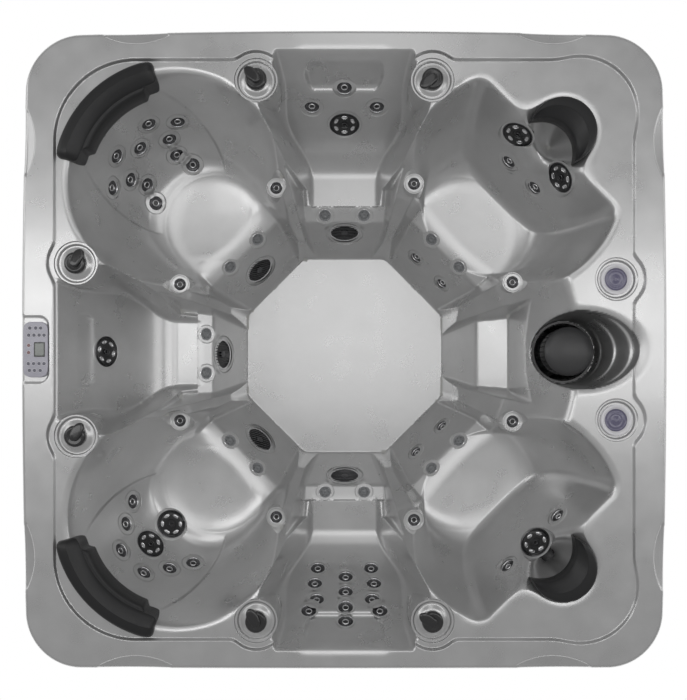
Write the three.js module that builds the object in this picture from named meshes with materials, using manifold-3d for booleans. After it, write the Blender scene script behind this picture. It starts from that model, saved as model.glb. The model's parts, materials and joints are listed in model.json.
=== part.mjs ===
import * as THREE from 'three';
import { mergeVertices } from 'three/addons/utils/BufferGeometryUtils.js';
import Module from 'manifold-3d';

const wasm = await Module();
wasm.setup();

// Driving sizes in millimetres, +Z up, floor centre as origin, +Y towards the side that is up in the photo
const tub = { halfWidth: 1150, halfDepth: 1137, height: 930, cornerRadius: 195, wall: 14 };
const sideBow = { sides: 20, front: 4 };
const rim = { edgeRadius: 14, skirt: 70, scoopLength: 160, scoopReach: 52, scoopDrop: 16 };
const gap = { fit: 0.3, run: 0.6 };
const weld = 0.001;
const blend = { crisp: 8, ridge: 10, lip: 16, fillet: 40, soft: 60, sweep: 120 };

// Heights above the ground, and drops below the rim
const rise = { footwellFloor: 140, seatPan: 452, ledgeLine: 298, canister: 190 };
const drop = {
  deck: 12, ledge: 300, filterShelf: 305, frameRail: 385, cartridge: 340, lid: 214, cupCable: 148, cabinet: 52,
};

// How far things stand in from the tub's sides, or from its shorter half where they lie round its centre
const inset = {
  deckStep: 105, deckCorner: 297, deckSeat: 81, bowlHeart: 337, cornerSeat: 288, cornerFront: 530,
  middleFront: 567, topBack: 141, bottomBack: 137, leftBack: 188, mouthTop: 81, mouthBottom: 75, mouthLeft: 138,
  eastFront: 565, well: 301, footwell: 707, valveTop: 175, valveBottom: 169, valveLeft: 193, cups: 178,
  scoopSide: 408, scoopTop: 397, scoopBottom: 399, ledgeRing: 437, lineCorner: 512, lane: 101, leftLane: 114,
  cupCable: 72, panel: 54, panelBody: 58, middleJets: 237, leftJets: 250, frameX: 150, frameY: 137,
  sleeper: 900, cabinet: 42, tray: 44, equipmentX: 460, equipmentY: 447,
};
const shortHalf = Math.min(tub.halfWidth, tub.halfDepth);
// Steps from one part of a seat to the next along its own direction
const stride = {
  roundPan: 109, roundDish: 169, shelfPan: 186, shelfBack: 193, neck: 256, crescent: 95,
  suction: 77, injector: 4, cornerInjector: 23,
};

const level = {
  deck: drop.deck, ledge: drop.ledge, pan: tub.height - rise.seatPan, filterShelf: drop.filterShelf,
  floor: tub.height - rise.footwellFloor,
};

// Plan sizes of the deck, the seats and the footwell
const deckStep = {
  half: shortHalf - inset.deckStep, cornerRadius: 290, width: 6, seatHalf: 190,
  seatReach: tub.halfDepth - inset.deckSeat, corner: shortHalf - inset.deckCorner, cornerRound: 205,
};
const bowl = { heart: shortHalf - inset.bowlHeart, inset: 150, curveShare: 0.45 };
const cornerSeat = {
  reach: shortHalf - inset.cornerSeat, radius: 390, front: shortHalf - inset.cornerFront, frontHalf: 204,
  sideHalf: 275, panCurveShare: 0.9,
};
const roundSeat = {
  panReach: cornerSeat.reach - stride.roundPan, panRadius: 204,
  dishReach: cornerSeat.reach + stride.roundDish, dishRadius: 236, dishDrop: 12,
};
const shelfSeat = {
  panReach: cornerSeat.reach - stride.shelfPan, panRadius: 250,
  backReach: cornerSeat.reach + stride.shelfBack, backSlope: 3.4,
};
const neck = {
  reach: cornerSeat.reach + stride.neck, radius: 121, wallSlope: 2.4, floorSlope: 0.8, floorDrop: 25,
};
const middleSeat = {
  front: shortHalf - inset.middleFront, frontHalf: 176, half: 178, backTop: 125, backSlope: 1.75,
};
const seatWaist = { swell: 52, swellBack: 118, swellSpan: 88, wallSlope: 7 };
const seatFront = { bevel: 60, bevelSlope: 0.45, riserInset: 30 };
const mouthEnd = {
  top: tub.halfDepth - inset.mouthTop, bottom: tub.halfDepth - inset.mouthBottom,
  left: tub.halfWidth - inset.mouthLeft, half: 190,
};
const eastLedge = { front: shortHalf - inset.eastFront, half: 150, run: 6, slope: 2.6 };
const well = {
  reach: tub.halfWidth - inset.well, halfLength: 206, halfWidth: 143, floorHalfLength: 150, floorHalfWidth: 122,
};
const footwell = { apothem: shortHalf - inset.footwell, wallSlope: 6 };
const island = { radius: 87, stepRadius: 100, fillet: 50 };

// Places of the valves and the lit cups on the deck
const valvePlace = {
  side: 314, top: tub.halfDepth - inset.valveTop, bottom: tub.halfDepth - inset.valveBottom,
  left: tub.halfWidth - inset.valveLeft, leftSide: 308,
};
const cupPlace = { reach: tub.halfWidth - inset.cups, side: 252 };

const clamp = (value, low, high) => Math.min(Math.max(value, low), high);
const turn = (degrees) => (degrees * Math.PI) / 180;

// Rounded minimum and maximum of two depths or outlines
function softMin(a, b, width) {
  const h = Math.max(width - Math.abs(a - b), 0) / width;
  return Math.min(a, b) - (h * h * width) / 4;
}

const softMax = (a, b, width) => -softMin(-a, -b, width);

function smoothStep(from, to, value) {
  const t = clamp((value - from) / (to - from), 0, 1);
  return t * t * (3 - 2 * t);
}

// Outlines are signed distances in plan, negative inside
const disc = (x, y, cx, cy, radius) => Math.hypot(x - cx, y - cy) - radius;

function slab(x, y, cx, cy, halfX, halfY, radius) {
  const qx = Math.abs(x - cx) - (halfX - radius);
  const qy = Math.abs(y - cy) - (halfY - radius);
  return Math.hypot(Math.max(qx, 0), Math.max(qy, 0)) + Math.min(Math.max(qx, qy), 0) - radius;
}

function oval(x, y, cx, cy, halfX, halfY) {
  return (Math.hypot((x - cx) / halfX, (y - cy) / halfY) - 1) * Math.min(halfX, halfY);
}

const valves = [
  { name: 'top_left', x: -valvePlace.side, y: valvePlace.top },
  { name: 'top_right', x: valvePlace.side, y: valvePlace.top },
  { name: 'left_upper', x: -valvePlace.left, y: valvePlace.leftSide },
  { name: 'left_lower', x: -valvePlace.left, y: -valvePlace.leftSide },
  { name: 'bottom_left', x: -valvePlace.side, y: -valvePlace.bottom },
  { name: 'bottom_right', x: valvePlace.side, y: -valvePlace.bottom },
];
const cups = [
  { x: cupPlace.reach, y: cupPlace.side },
  { x: cupPlace.reach, y: -cupPlace.side },
];

// Seats lie round the footwell, each with its own direction from the tub's centre
const seats = {
  northWest: { angle: 135, kind: 'round' },
  southWest: { angle: 225, kind: 'round' },
  northEast: { angle: 45, kind: 'shelf' },
  southEast: { angle: 315, kind: 'shelf' },
  north: { angle: 90, kind: 'middle', back: tub.halfDepth - inset.topBack, end: mouthEnd.top },
  south: { angle: 270, kind: 'middle', back: tub.halfDepth - inset.bottomBack, end: mouthEnd.bottom },
  west: { angle: 180, kind: 'middle', back: tub.halfWidth - inset.leftBack, end: mouthEnd.left },
  east: { angle: 0, kind: 'ledge' },
};
for (const seat of Object.values(seats)) {
  seat.cos = Math.cos(turn(seat.angle));
  seat.sin = Math.sin(turn(seat.angle));
}

// Seat coordinates: along runs outward from the centre, across to the left of that
const along = (seat, x, y) => x * seat.cos + y * seat.sin;
const across = (seat, x, y) => y * seat.cos - x * seat.sin;

function cornerMouth(seat, x, y) {
  const u = along(seat, x, y);
  const v = across(seat, x, y);
  let edge = disc(u, v, cornerSeat.reach, 0, cornerSeat.radius);
  if (seat.kind === 'shelf') {
    edge = softMax(edge, u - shelfSeat.backReach, blend.fillet);
    edge = softMin(edge, disc(u, v, neck.reach, 0, neck.radius), blend.lip);
  }
  return edge;
}

function mouth(x, y) {
  let edge = disc(x, y, 0, 0, bowl.heart);
  for (const seat of Object.values(seats)) {
    if (seat.kind === 'round' || seat.kind === 'shelf') {
      edge = softMin(edge, cornerMouth(seat, x, y), blend.soft);
    }
    if (seat.kind === 'middle') {
      const u = along(seat, x, y);
      const strip = slab(u, across(seat, x, y), seat.end / 2, 0, seat.end / 2, mouthEnd.half, blend.fillet);
      edge = softMin(edge, strip, blend.soft);
    }
  }
  edge = softMin(edge, oval(x, y, well.reach, 0, well.halfLength, well.halfWidth), blend.soft);
  for (const place of [...valves, ...cups]) {
    edge = softMax(edge, -disc(x, y, place.x, place.y, island.radius), island.fillet);
  }
  return edge;
}

// Outline inside which the deck is one step lower than the rim
function deckOutline(x, y) {
  const { half, cornerRadius, seatHalf, seatReach, corner, cornerRound } = deckStep;
  let edge = slab(x, y, 0, 0, half, half, cornerRadius);
  edge = softMin(edge, slab(x, y, 0, 0, seatHalf, seatReach, blend.fillet), blend.lip);
  for (const place of [...valves, ...cups]) {
    edge = softMin(edge, disc(x, y, place.x, place.y, island.stepRadius), blend.lip);
  }
  for (const side of [1, -1]) {
    edge = softMin(edge, disc(x, y, corner, side * corner, cornerRound), blend.lip);
  }
  return edge;
}

// Depth that runs from full inside one outline to nothing at a wider one
function loft(inner, outer, depth, curveShare) {
  const a = Math.max(inner, 0);
  const b = Math.max(-outer, 0);
  const t = a + b > 0 ? a / (a + b) : 0;
  return depth * (1 - (t + curveShare * (t * t - t)));
}

function frontDepth(u, v, front, frontHalf, depth) {
  const bevelStart = front + seatFront.riserInset;
  const riserStart = bevelStart - seatFront.bevel;
  const riserTop = depth + seatFront.bevel * seatFront.bevelSlope;
  const riserSlope = (level.floor - riserTop) / (riserStart - footwell.apothem);
  const bevelSlope = u > bevelStart ? footwell.wallSlope : seatFront.bevelSlope;
  const bevel = depth + (bevelStart - u) * bevelSlope;
  const slope = softMax(bevel, riserTop + (riserStart - u) * riserSlope, blend.ridge);
  return softMin(slope, depth + (frontHalf - Math.abs(v)) * footwell.wallSlope, blend.fillet);
}

function cornerDepth(seat, u, v) {
  const sides = slab(u, v, cornerSeat.reach / 2, 0, cornerSeat.reach / 2, cornerSeat.sideHalf, blend.soft);
  const edge = softMin(disc(u, v, cornerSeat.reach, 0, cornerSeat.radius), sides, blend.soft);
  const round = seat.kind === 'round';
  const panReach = round ? roundSeat.panReach : shelfSeat.panReach;
  const panRadius = round ? roundSeat.panRadius : shelfSeat.panRadius;
  const strip = slab(u, v, panReach / 2, 0, panReach / 2, cornerSeat.frontHalf, blend.soft);
  const pan = softMin(disc(u, v, panReach, 0, panRadius), strip, blend.fillet);
  let depth = loft(pan, edge, level.pan, cornerSeat.panCurveShare);
  if (round) {
    const dish = disc(u, v, roundSeat.dishReach, 0, roundSeat.dishRadius);
    const fade = smoothStep(panReach + blend.soft, panReach + blend.sweep, u);
    depth += roundSeat.dishDrop * smoothStep(blend.ridge, -2 * blend.ridge, dish) * fade;
    return depth;
  }
  const back = level.deck + (shelfSeat.backReach - u) * shelfSeat.backSlope;
  depth = softMin(depth, back, blend.soft + blend.fillet);
  if (u > panReach + panRadius) {
    const reach = Math.hypot(Math.max(u - neck.reach, 0), v);
    const wall = (neck.radius - reach) * neck.wallSlope;
    const bottom = neck.floorDrop + (neck.reach + neck.radius - u) * neck.floorSlope;
    depth = softMax(depth, softMin(wall, bottom, blend.fillet), blend.crisp);
  }
  return depth;
}

function middleHalf(seat, u) {
  const offset = (u - (seat.back - seatWaist.swellBack)) / seatWaist.swellSpan;
  return middleSeat.half + seatWaist.swell * Math.exp(-offset * offset);
}

function middleDepth(seat, u, v) {
  const back = middleSeat.backTop + (seat.back - u) * middleSeat.backSlope;
  const wall = level.ledge + (middleHalf(seat, u) - Math.abs(v)) * seatWaist.wallSlope;
  return softMin(softMin(back, level.pan, blend.sweep), wall, blend.fillet);
}

function eastDepth(u, v) {
  const back = level.pan - (u - eastLedge.front - eastLedge.run) * eastLedge.slope;
  const wall = level.ledge + (middleSeat.half - Math.abs(v)) * seatWaist.wallSlope;
  return softMin(softMin(back, level.pan, blend.lip), wall, blend.fillet);
}

function seatDepth(seat, x, y, depth) {
  const u = along(seat, x, y);
  const v = across(seat, x, y);
  if (u <= 0) {
    return depth;
  }
  const corner = seat.kind === 'round' || seat.kind === 'shelf';
  if (corner) {
    const front = frontDepth(u, v, cornerSeat.front, cornerSeat.frontHalf, level.pan);
    return softMax(softMax(depth, cornerDepth(seat, u, v), blend.ridge), front, blend.lip);
  }
  if (seat.kind === 'ledge') {
    const front = frontDepth(u, v, eastLedge.front, eastLedge.half, level.pan);
    return softMax(softMax(depth, eastDepth(u, v), blend.ridge), front, blend.lip);
  }
  const hollow = middleDepth(seat, u, v);
  const front = frontDepth(u, v, middleSeat.front, middleSeat.frontHalf, level.pan);
  const joined = softMax(softMax(depth, hollow, blend.crisp), front, blend.lip);
  const inside = softMax(Math.abs(v) - middleHalf(seat, u), u - seat.back - 2 * blend.ridge, blend.soft);
  if (u <= middleSeat.front + seatFront.riserInset) {
    return joined;
  }
  return joined + (hollow - joined) * smoothStep(-2 * blend.ridge, -5 * blend.ridge, inside);
}

const terraces = { count: 3, swingShare: 0.75 };

// Filter well: an oval that steps down to its shelf
function wellDepth(x, y) {
  const inner = oval(x, y, well.reach, 0, well.floorHalfLength, well.floorHalfWidth);
  const outer = oval(x, y, well.reach, 0, well.halfLength, well.halfWidth);
  const a = Math.max(inner, 0);
  const b = Math.max(-outer, 0);
  const t = a + b > 0 ? a / (a + b) : 0;
  const turns = 2 * Math.PI * terraces.count;
  return level.filterShelf * (1 - t - (terraces.swingShare * Math.sin(turns * t)) / turns);
}

// Half sizes of the outline at a point of the unit square's border, with its bowed sides and round corners
function outlinePoint(s, t, inset) {
  const halfX = tub.halfWidth - inset;
  const halfY = tub.halfDepth - inset;
  const radius = tub.cornerRadius - inset;
  const coreX = halfX - radius;
  const coreY = halfY - radius;
  let x = s * halfX;
  let y = t * halfY;
  if (Math.abs(x) > coreX && Math.abs(y) > coreY) {
    const dx = Math.abs(x) - coreX;
    const dy = Math.abs(y) - coreY;
    const reach = Math.hypot(dx, dy);
    x = Math.sign(x) * (coreX + (dx * radius) / reach);
    y = Math.sign(y) * (coreY + (dy * radius) / reach);
  }
  const bowY = y < 0 ? sideBow.front : sideBow.sides;
  return [x * (1 - (sideBow.sides / halfX) * (y / halfY) ** 2), y * (1 - (bowY / halfY) * (x / halfX) ** 2)];
}

// Scoops in the rim's outer edge, two beside each corner
const scoopPlace = {
  side: tub.halfWidth - inset.scoopSide, top: tub.halfDepth - inset.scoopTop,
  bottom: tub.halfDepth - inset.scoopBottom,
};
const scoops = [];
for (const side of [-1, 1]) {
  scoops.push({ x: side * scoopPlace.side, y: 0, dy: 1 }, { x: side * scoopPlace.side, y: 0, dy: -1 });
  scoops.push({ x: 0, y: side * scoopPlace.top, dx: 1 }, { x: 0, y: side * scoopPlace.bottom, dx: -1 });
}

function scoopDepth(x, y) {
  let depth = 0;
  for (const scoop of scoops) {
    const flat = scoop.dy !== undefined;
    const offset = flat ? x - scoop.x : y - scoop.y;
    const outer = flat ? tub.halfDepth - scoop.dy * y : tub.halfWidth - scoop.dx * x;
    const reach = rim.scoopReach * (1 - (offset / rim.scoopLength) ** 2);
    depth = Math.max(depth, clamp((reach - outer) / rim.scoopReach, 0, 1) * rim.scoopDrop);
  }
  return depth;
}

// Depth of the formed surface below the rim's top
function shellDepth(x, y) {
  let depth = level.deck * smoothStep(deckStep.width, -deckStep.width, deckOutline(x, y));
  depth = Math.max(depth, scoopDepth(x, y));
  const edge = mouth(x, y);
  depth = softMax(depth, loft(edge + bowl.inset, edge, level.ledge, bowl.curveShare), blend.crisp);
  for (const seat of Object.values(seats)) {
    depth = seatDepth(seat, x, y, depth);
  }
  depth = softMax(depth, wellDepth(x, y), blend.crisp);
  const square = Math.max(Math.abs(x), Math.abs(y));
  const diagonal = (Math.abs(x) + Math.abs(y)) * Math.SQRT1_2;
  const octagon = softMax(square, diagonal, blend.lip);
  depth = softMax(depth, level.floor - (octagon - footwell.apothem) * footwell.wallSlope, blend.lip);
  return softMin(depth, level.floor, 2 * blend.ridge);
}

// Rise of the surface per unit of x and y, over a span
function shellSlope(x, y, span) {
  const sx = (shellDepth(x - span, y) - shellDepth(x + span, y)) / (2 * span);
  const sy = (shellDepth(x, y - span) - shellDepth(x, y + span)) / (2 * span);
  return [sx, sy];
}

// Surface mesh: a square of cells laid over the outline, split where the form bends
const cells = { finest: 64, block: 8, smallest: 2, tolerance: 26, steepest: 8, cornerShare: 0.72 };
const probeShares = [1 / 4, 1 / 2, 3 / 4];

function squareToPlan(i, j) {
  const s = (2 * i) / cells.finest - 1;
  const t = (2 * j) / cells.finest - 1;
  const m = Math.max(Math.abs(s), Math.abs(t));
  if (m === 0) {
    return [0, 0];
  }
  const [x, y] = outlinePoint(s / m, t / m, rim.edgeRadius);
  return [x * m, y * m];
}

const heightCache = new Map();

function planHeight(i, j) {
  const key = i * cells.finest * cells.finest + j;
  if (!heightCache.has(key)) {
    const [x, y] = squareToPlan(i, j);
    heightCache.set(key, tub.height - shellDepth(x, y));
  }
  return heightCache.get(key);
}

function cellError(i, j, size) {
  const near = [planHeight(i, j), planHeight(i + size, j)];
  const far = [planHeight(i, j + size), planHeight(i + size, j + size)];
  const span = Math.hypot(near[0] - far[1], near[1] - far[0]);
  const [x0] = squareToPlan(i, j);
  const [x1] = squareToPlan(i + size, j);
  const slope = Math.hypot(1, span / Math.max(Math.abs(x1 - x0), weld));
  let worst = 0;
  for (const a of probeShares) {
    for (const b of probeShares) {
      const nearMiddle = near[0] * (1 - a) + near[1] * a;
      const farMiddle = far[0] * (1 - a) + far[1] * a;
      const flat = nearMiddle * (1 - b) + farMiddle * b;
      worst = Math.max(worst, Math.abs(planHeight(i + a * size, j + b * size) - flat) / slope);
    }
  }
  return worst;
}

// Cells on the border beside a round corner are split, whatever their height
function nearCorner(i, j, size) {
  const s = Math.abs((2 * i + size) / cells.finest - 1);
  const t = Math.abs((2 * j + size) / cells.finest - 1);
  const reach = 1 - size / cells.finest;
  return Math.max(s, t) >= reach && Math.min(s, t) > cells.cornerShare;
}

function splitCells() {
  const leaves = new Map();
  const keyOf = (i, j) => `${i},${j}`;
  const visit = (i, j, size) => {
    const rough = nearCorner(i, j, size) || cellError(i, j, size) > cells.tolerance;
    if (size > cells.smallest && rough) {
      const half = size / 2;
      for (const [a, b] of [[0, 0], [half, 0], [0, half], [half, half]]) {
        visit(i + a, j + b, half);
      }
      return;
    }
    leaves.set(keyOf(i, j), { i, j, size });
  };
  for (let i = 0; i < cells.finest; i += cells.block) {
    for (let j = 0; j < cells.finest; j += cells.block) {
      visit(i, j, cells.block);
    }
  }
  // A cell is split again where a neighbour is less than half its size
  let changed = true;
  while (changed) {
    changed = false;
    const corners = new Set();
    for (const { i, j, size } of leaves.values()) {
      for (const [a, b] of [[0, 0], [size, 0], [0, size], [size, size]]) {
        corners.add(keyOf(i + a, j + b));
      }
    }
    for (const { i, j, size } of [...leaves.values()]) {
      if (size < 2 * cells.smallest) {
        continue;
      }
      const quarter = size / 4;
      let fine = false;
      for (const k of [quarter, 3 * quarter]) {
        fine = fine || corners.has(keyOf(i + k, j)) || corners.has(keyOf(i + k, j + size));
        fine = fine || corners.has(keyOf(i, j + k)) || corners.has(keyOf(i + size, j + k));
      }
      if (fine) {
        const half = size / 2;
        leaves.delete(keyOf(i, j));
        for (const [a, b] of [[0, 0], [half, 0], [0, half], [half, half]]) {
          leaves.set(keyOf(i + a, j + b), { i: i + a, j: j + b, size: half });
        }
        changed = true;
      }
    }
  }
  return [...leaves.values()];
}

function surfaceGrid() {
  const leaves = splitCells();
  const index = new Map();
  const points = [];
  const vertex = (i, j) => {
    const key = `${i},${j}`;
    if (!index.has(key)) {
      index.set(key, points.length);
      points.push({ i, j, plan: squareToPlan(i, j) });
    }
    return index.get(key);
  };
  for (const { i, j, size } of leaves) {
    for (const [a, b] of [[0, 0], [size, 0], [size, size], [0, size]]) {
      vertex(i + a, j + b);
    }
  }
  const triangles = [];
  for (const { i, j, size } of leaves) {
    const half = size / 2;
    const border = [
      [0, 0], [half, 0], [size, 0], [size, half], [size, size], [half, size], [0, size], [0, half],
    ];
    const ring = border.filter(([a, b], k) => k % 2 === 0 || index.has(`${i + a},${j + b}`));
    const ids = ring.map(([a, b]) => index.get(`${i + a},${j + b}`));
    if (ids.length === 4) {
      const middle = planHeight(i + half, j + half);
      const first = (planHeight(i, j) + planHeight(i + size, j + size)) / 2;
      const second = (planHeight(i + size, j) + planHeight(i, j + size)) / 2;
      if (Math.abs(first - middle) < Math.abs(second - middle)) {
        triangles.push([ids[0], ids[1], ids[2]], [ids[0], ids[2], ids[3]]);
      } else {
        triangles.push([ids[0], ids[1], ids[3]], [ids[1], ids[2], ids[3]]);
      }
      continue;
    }
    const centre = vertex(i + half, j + half);
    for (let k = 0; k < ids.length; k += 1) {
      triangles.push([ids[k], ids[(k + 1) % ids.length], centre]);
    }
  }
  // The border runs once round the square, counterclockwise
  const border = [];
  const sides = [
    (k) => [k, 0],
    (k) => [cells.finest, k],
    (k) => [cells.finest - k, cells.finest],
    (k) => [0, cells.finest - k],
  ];
  for (const side of sides) {
    for (let k = 0; k < cells.finest; k += 1) {
      const [i, j] = side(k);
      if (index.has(`${i},${j}`)) {
        border.push({ id: index.get(`${i},${j}`), i, j });
      }
    }
  }
  return { points, triangles, border };
}

const grid = surfaceGrid();
const topPoints = grid.points.map(({ plan: [x, y] }) => [x, y, tub.height - shellDepth(x, y)]);

// The underside lies one wall below, measured square to the surface
const slopeSpan = 18;
const undersidePoints = topPoints.map(([x, y, z]) => {
  const [sx, sy] = shellSlope(x, y, slopeSpan);
  const steep = Math.min(Math.hypot(1, sx, sy), cells.steepest);
  return [x, y, z - tub.wall * steep];
});

function solidFromLists(points, triangles) {
  const mesh = new wasm.Mesh({
    numProp: 3,
    vertProperties: new Float32Array(points.flat()),
    triVerts: new Uint32Array(triangles.flat()),
  });
  return new wasm.Manifold(mesh);
}

// A loop of points joined to the next loop by two triangles a step
function loopBand(triangles, lower, upper) {
  const count = lower.length;
  for (let k = 0; k < count; k += 1) {
    const next = (k + 1) % count;
    triangles.push([lower[k], lower[next], upper[next]], [lower[k], upper[next], upper[k]]);
  }
}

function formedShell() {
  const points = [...topPoints, ...undersidePoints];
  const count = topPoints.length;
  const triangles = [...grid.triangles.map((t) => [...t])];
  for (const [a, b, c] of grid.triangles) {
    triangles.push([a + count, c + count, b + count]);
  }
  const rings = [
    { inset: 0, drop: rim.edgeRadius },
    { inset: 0, drop: rim.skirt },
    { inset: tub.wall, drop: rim.skirt },
  ];
  let last = grid.border.map(({ id }) => id);
  for (const ring of rings) {
    const ids = [];
    for (const { id, i, j } of grid.border) {
      const s = (2 * i) / cells.finest - 1;
      const t = (2 * j) / cells.finest - 1;
      const [x, y] = outlinePoint(s, t, ring.inset);
      const fall = ring.drop < rim.skirt ? tub.height - topPoints[id][2] : 0;
      ids.push(points.length);
      points.push([x, y, tub.height - ring.drop - fall]);
    }
    loopBand(triangles, ids, last);
    last = ids;
  }
  loopBand(triangles, grid.border.map(({ id }) => id + count), last);
  return solidFromLists(points, triangles);
}

// Everything below the formed surface, used to cut what rests on it
function formedBlock() {
  const count = topPoints.length;
  const points = [...topPoints, ...topPoints.map(([x, y]) => [x, y, 0])];
  const triangles = [...grid.triangles.map((t) => [...t])];
  for (const [a, b, c] of grid.triangles) {
    triangles.push([a + count, c + count, b + count]);
  }
  const upper = grid.border.map(({ id }) => id);
  loopBand(triangles, upper.map((id) => id + count), upper);
  return solidFromLists(points, triangles);
}

const shellSolid = formedShell();

// Lathes and bars lie along the height, and every piece becomes a closed solid
function solidFrom(geometry) {
  const bare = geometry.index ? geometry.toNonIndexed() : geometry.clone();
  for (const name of Object.keys(bare.attributes)) {
    if (name !== 'position') {
      bare.deleteAttribute(name);
    }
  }
  const merged = mergeVertices(bare, weld);
  const ids = merged.index.array;
  const kept = [];
  for (let k = 0; k < ids.length; k += 3) {
    const [a, b, c] = [ids[k], ids[k + 1], ids[k + 2]];
    if (a !== b && b !== c && c !== a) {
      kept.push(a, b, c);
    }
  }
  const mesh = new wasm.Mesh({
    numProp: 3,
    vertProperties: new Float32Array(merged.attributes.position.array),
    triVerts: new Uint32Array(kept),
  });
  return new wasm.Manifold(mesh);
}

function bufferGeometry(solid) {
  const mesh = solid.getMesh();
  const positions = new Float32Array((mesh.vertProperties.length / mesh.numProp) * 3);
  for (let k = 0; k < positions.length / 3; k += 1) {
    positions.set(mesh.vertProperties.subarray(k * mesh.numProp, k * mesh.numProp + 3), k * 3);
  }
  const geometry = new THREE.BufferGeometry();
  geometry.setAttribute('position', new THREE.BufferAttribute(positions, 3));
  geometry.setIndex(new THREE.BufferAttribute(new Uint32Array(mesh.triVerts), 1));
  geometry.computeVertexNormals();
  return geometry;
}

function lathe(profile, sides) {
  const points = profile.map(([r, z]) => new THREE.Vector2(r, z));
  return new THREE.LatheGeometry(points, sides).rotateX(Math.PI / 2);
}

function joinAll(solids) {
  return solids.reduce((whole, solid) => whole.add(solid));
}

function bar(from, to, radius, sides) {
  const a = new THREE.Vector3(...from);
  const b = new THREE.Vector3(...to);
  const length = a.distanceTo(b);
  const geometry = new THREE.CylinderGeometry(radius, radius, length, sides);
  const way = b.clone().sub(a).normalize();
  const spin = new THREE.Quaternion().setFromUnitVectors(new THREE.Vector3(0, 1, 0), way);
  geometry.applyQuaternion(spin);
  const middle = a.add(b).multiplyScalar(0.5);
  return solidFrom(geometry.translate(middle.x, middle.y, middle.z));
}

// A run of bars whose joints are covered by running each bar a little past its ends
function pipeRun(points, radius, sides) {
  const solids = [];
  for (let k = 1; k < points.length; k += 1) {
    const a = new THREE.Vector3(...points[k - 1]);
    const b = new THREE.Vector3(...points[k]);
    const way = b.clone().sub(a).setLength(radius * pipe.overrunShare);
    const start = k > 1 ? a.sub(way) : a;
    const end = k < points.length - 1 ? b.add(way) : b;
    solids.push(bar(start.toArray(), end.toArray(), radius, sides));
  }
  return joinAll(solids);
}

function box(x0, x1, y0, y1, z0, z1) {
  const geometry = new THREE.BoxGeometry(x1 - x0, y1 - y0, z1 - z0);
  return solidFrom(geometry.translate((x0 + x1) / 2, (y0 + y1) / 2, (z0 + z1) / 2));
}

function extrude(points, z0, z1, rounds) {
  const shape = new THREE.Shape(points.map(([x, y]) => new THREE.Vector2(x, y)));
  const options = { depth: z1 - z0, bevelEnabled: false, curveSegments: rounds };
  return new THREE.ExtrudeGeometry(shape, options).translate(0, 0, z0);
}

// Height of the meshed surface, facet by facet
function facetHeight(x, y) {
  for (const [ia, ib, ic] of grid.triangles) {
    const [ax, ay, az] = topPoints[ia];
    const [bx, by, bz] = topPoints[ib];
    const [cx, cy, cz] = topPoints[ic];
    const area = (bx - ax) * (cy - ay) - (cx - ax) * (by - ay);
    const b = ((x - ax) * (cy - ay) - (cx - ax) * (y - ay)) / area;
    const c = ((bx - ax) * (y - ay) - (x - ax) * (by - ay)) / area;
    if (b >= 0 && c >= 0 && b + c <= 1) {
      return az + (bz - az) * b + (cz - az) * c;
    }
  }
  return tub.height;
}

// A seat for a round fitting: the plane square to the surface, let in where the facets below the face fall away
function seatOn(x, y, radius, upright, deepest) {
  const [sx, sy] = upright ? [0, 0] : shellSlope(x, y, radius);
  const normal = new THREE.Vector3(-sx, -sy, 1).normalize();
  const origin = new THREE.Vector3(x, y, tub.height - shellDepth(x, y));
  const spin = new THREE.Quaternion().setFromUnitVectors(new THREE.Vector3(0, 0, 1), normal);
  let lowest = (facetHeight(x, y) - origin.z) * normal.z;
  for (let k = 0; k < fitting.probes; k += 1) {
    const angle = (2 * Math.PI * k) / fitting.probes;
    const point = new THREE.Vector3(radius * Math.cos(angle), radius * Math.sin(angle), 0);
    point.applyQuaternion(spin).add(origin);
    lowest = Math.min(lowest, (facetHeight(point.x, point.y) - point.z) * normal.z);
  }
  origin.addScaledVector(normal, Math.max(lowest, -deepest) - gap.fit);
  return new THREE.Matrix4().compose(origin, spin, new THREE.Vector3(1, 1, 1));
}

const fitting = {
  probes: 8, deepestSeat: 9, cutAbove: 26, pocketAbove: 60, sides: 6, smallSides: 5, roundSides: 8, bigSides: 8,
  pocketSides: 10,
};
const seatJet = { face: 31, lift: 5, length: 72 };
const bigJet = {
  face: 66, lift: 8, length: 86, pocket: 54, pocketFloor: 46, pocketDepth: 16, pin: 7, pinDepth: 18,
  rotorTop: 48, rotorFoot: 40,
};
const ledgeJet = { face: 25, lift: 4 };
const injector = { face: 26, lift: 3, length: 66 };
const suction = { face: 65, lift: 10, length: 106 };
const footJet = { face: 26, lift: 4, length: 104 };
const valve = { face: 44, lift: 5, length: 159, pocket: 74, sink: 7, spindle: 7, spindleTop: 20 };
const cup = { face: 55, lift: 8, length: 52, pocket: 71, sink: 7, lens: 37, lensSink: 3 };
const pipe = { radius: 10, sides: 4, overrunShare: 0.5 };

function plainFitting(kind, sides) {
  const { face, lift, length } = kind;
  return lathe([[0, -length], [face, -length], [face, lift], [0, lift]], sides);
}

function fittingCutter(kind, sides) {
  const hole = kind.face + gap.fit;
  const foot = -2 * kind.length;
  return lathe([[0, foot], [hole, foot], [hole, fitting.cutAbove], [0, fitting.cutAbove]], sides);
}

const cutters = [];

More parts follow.
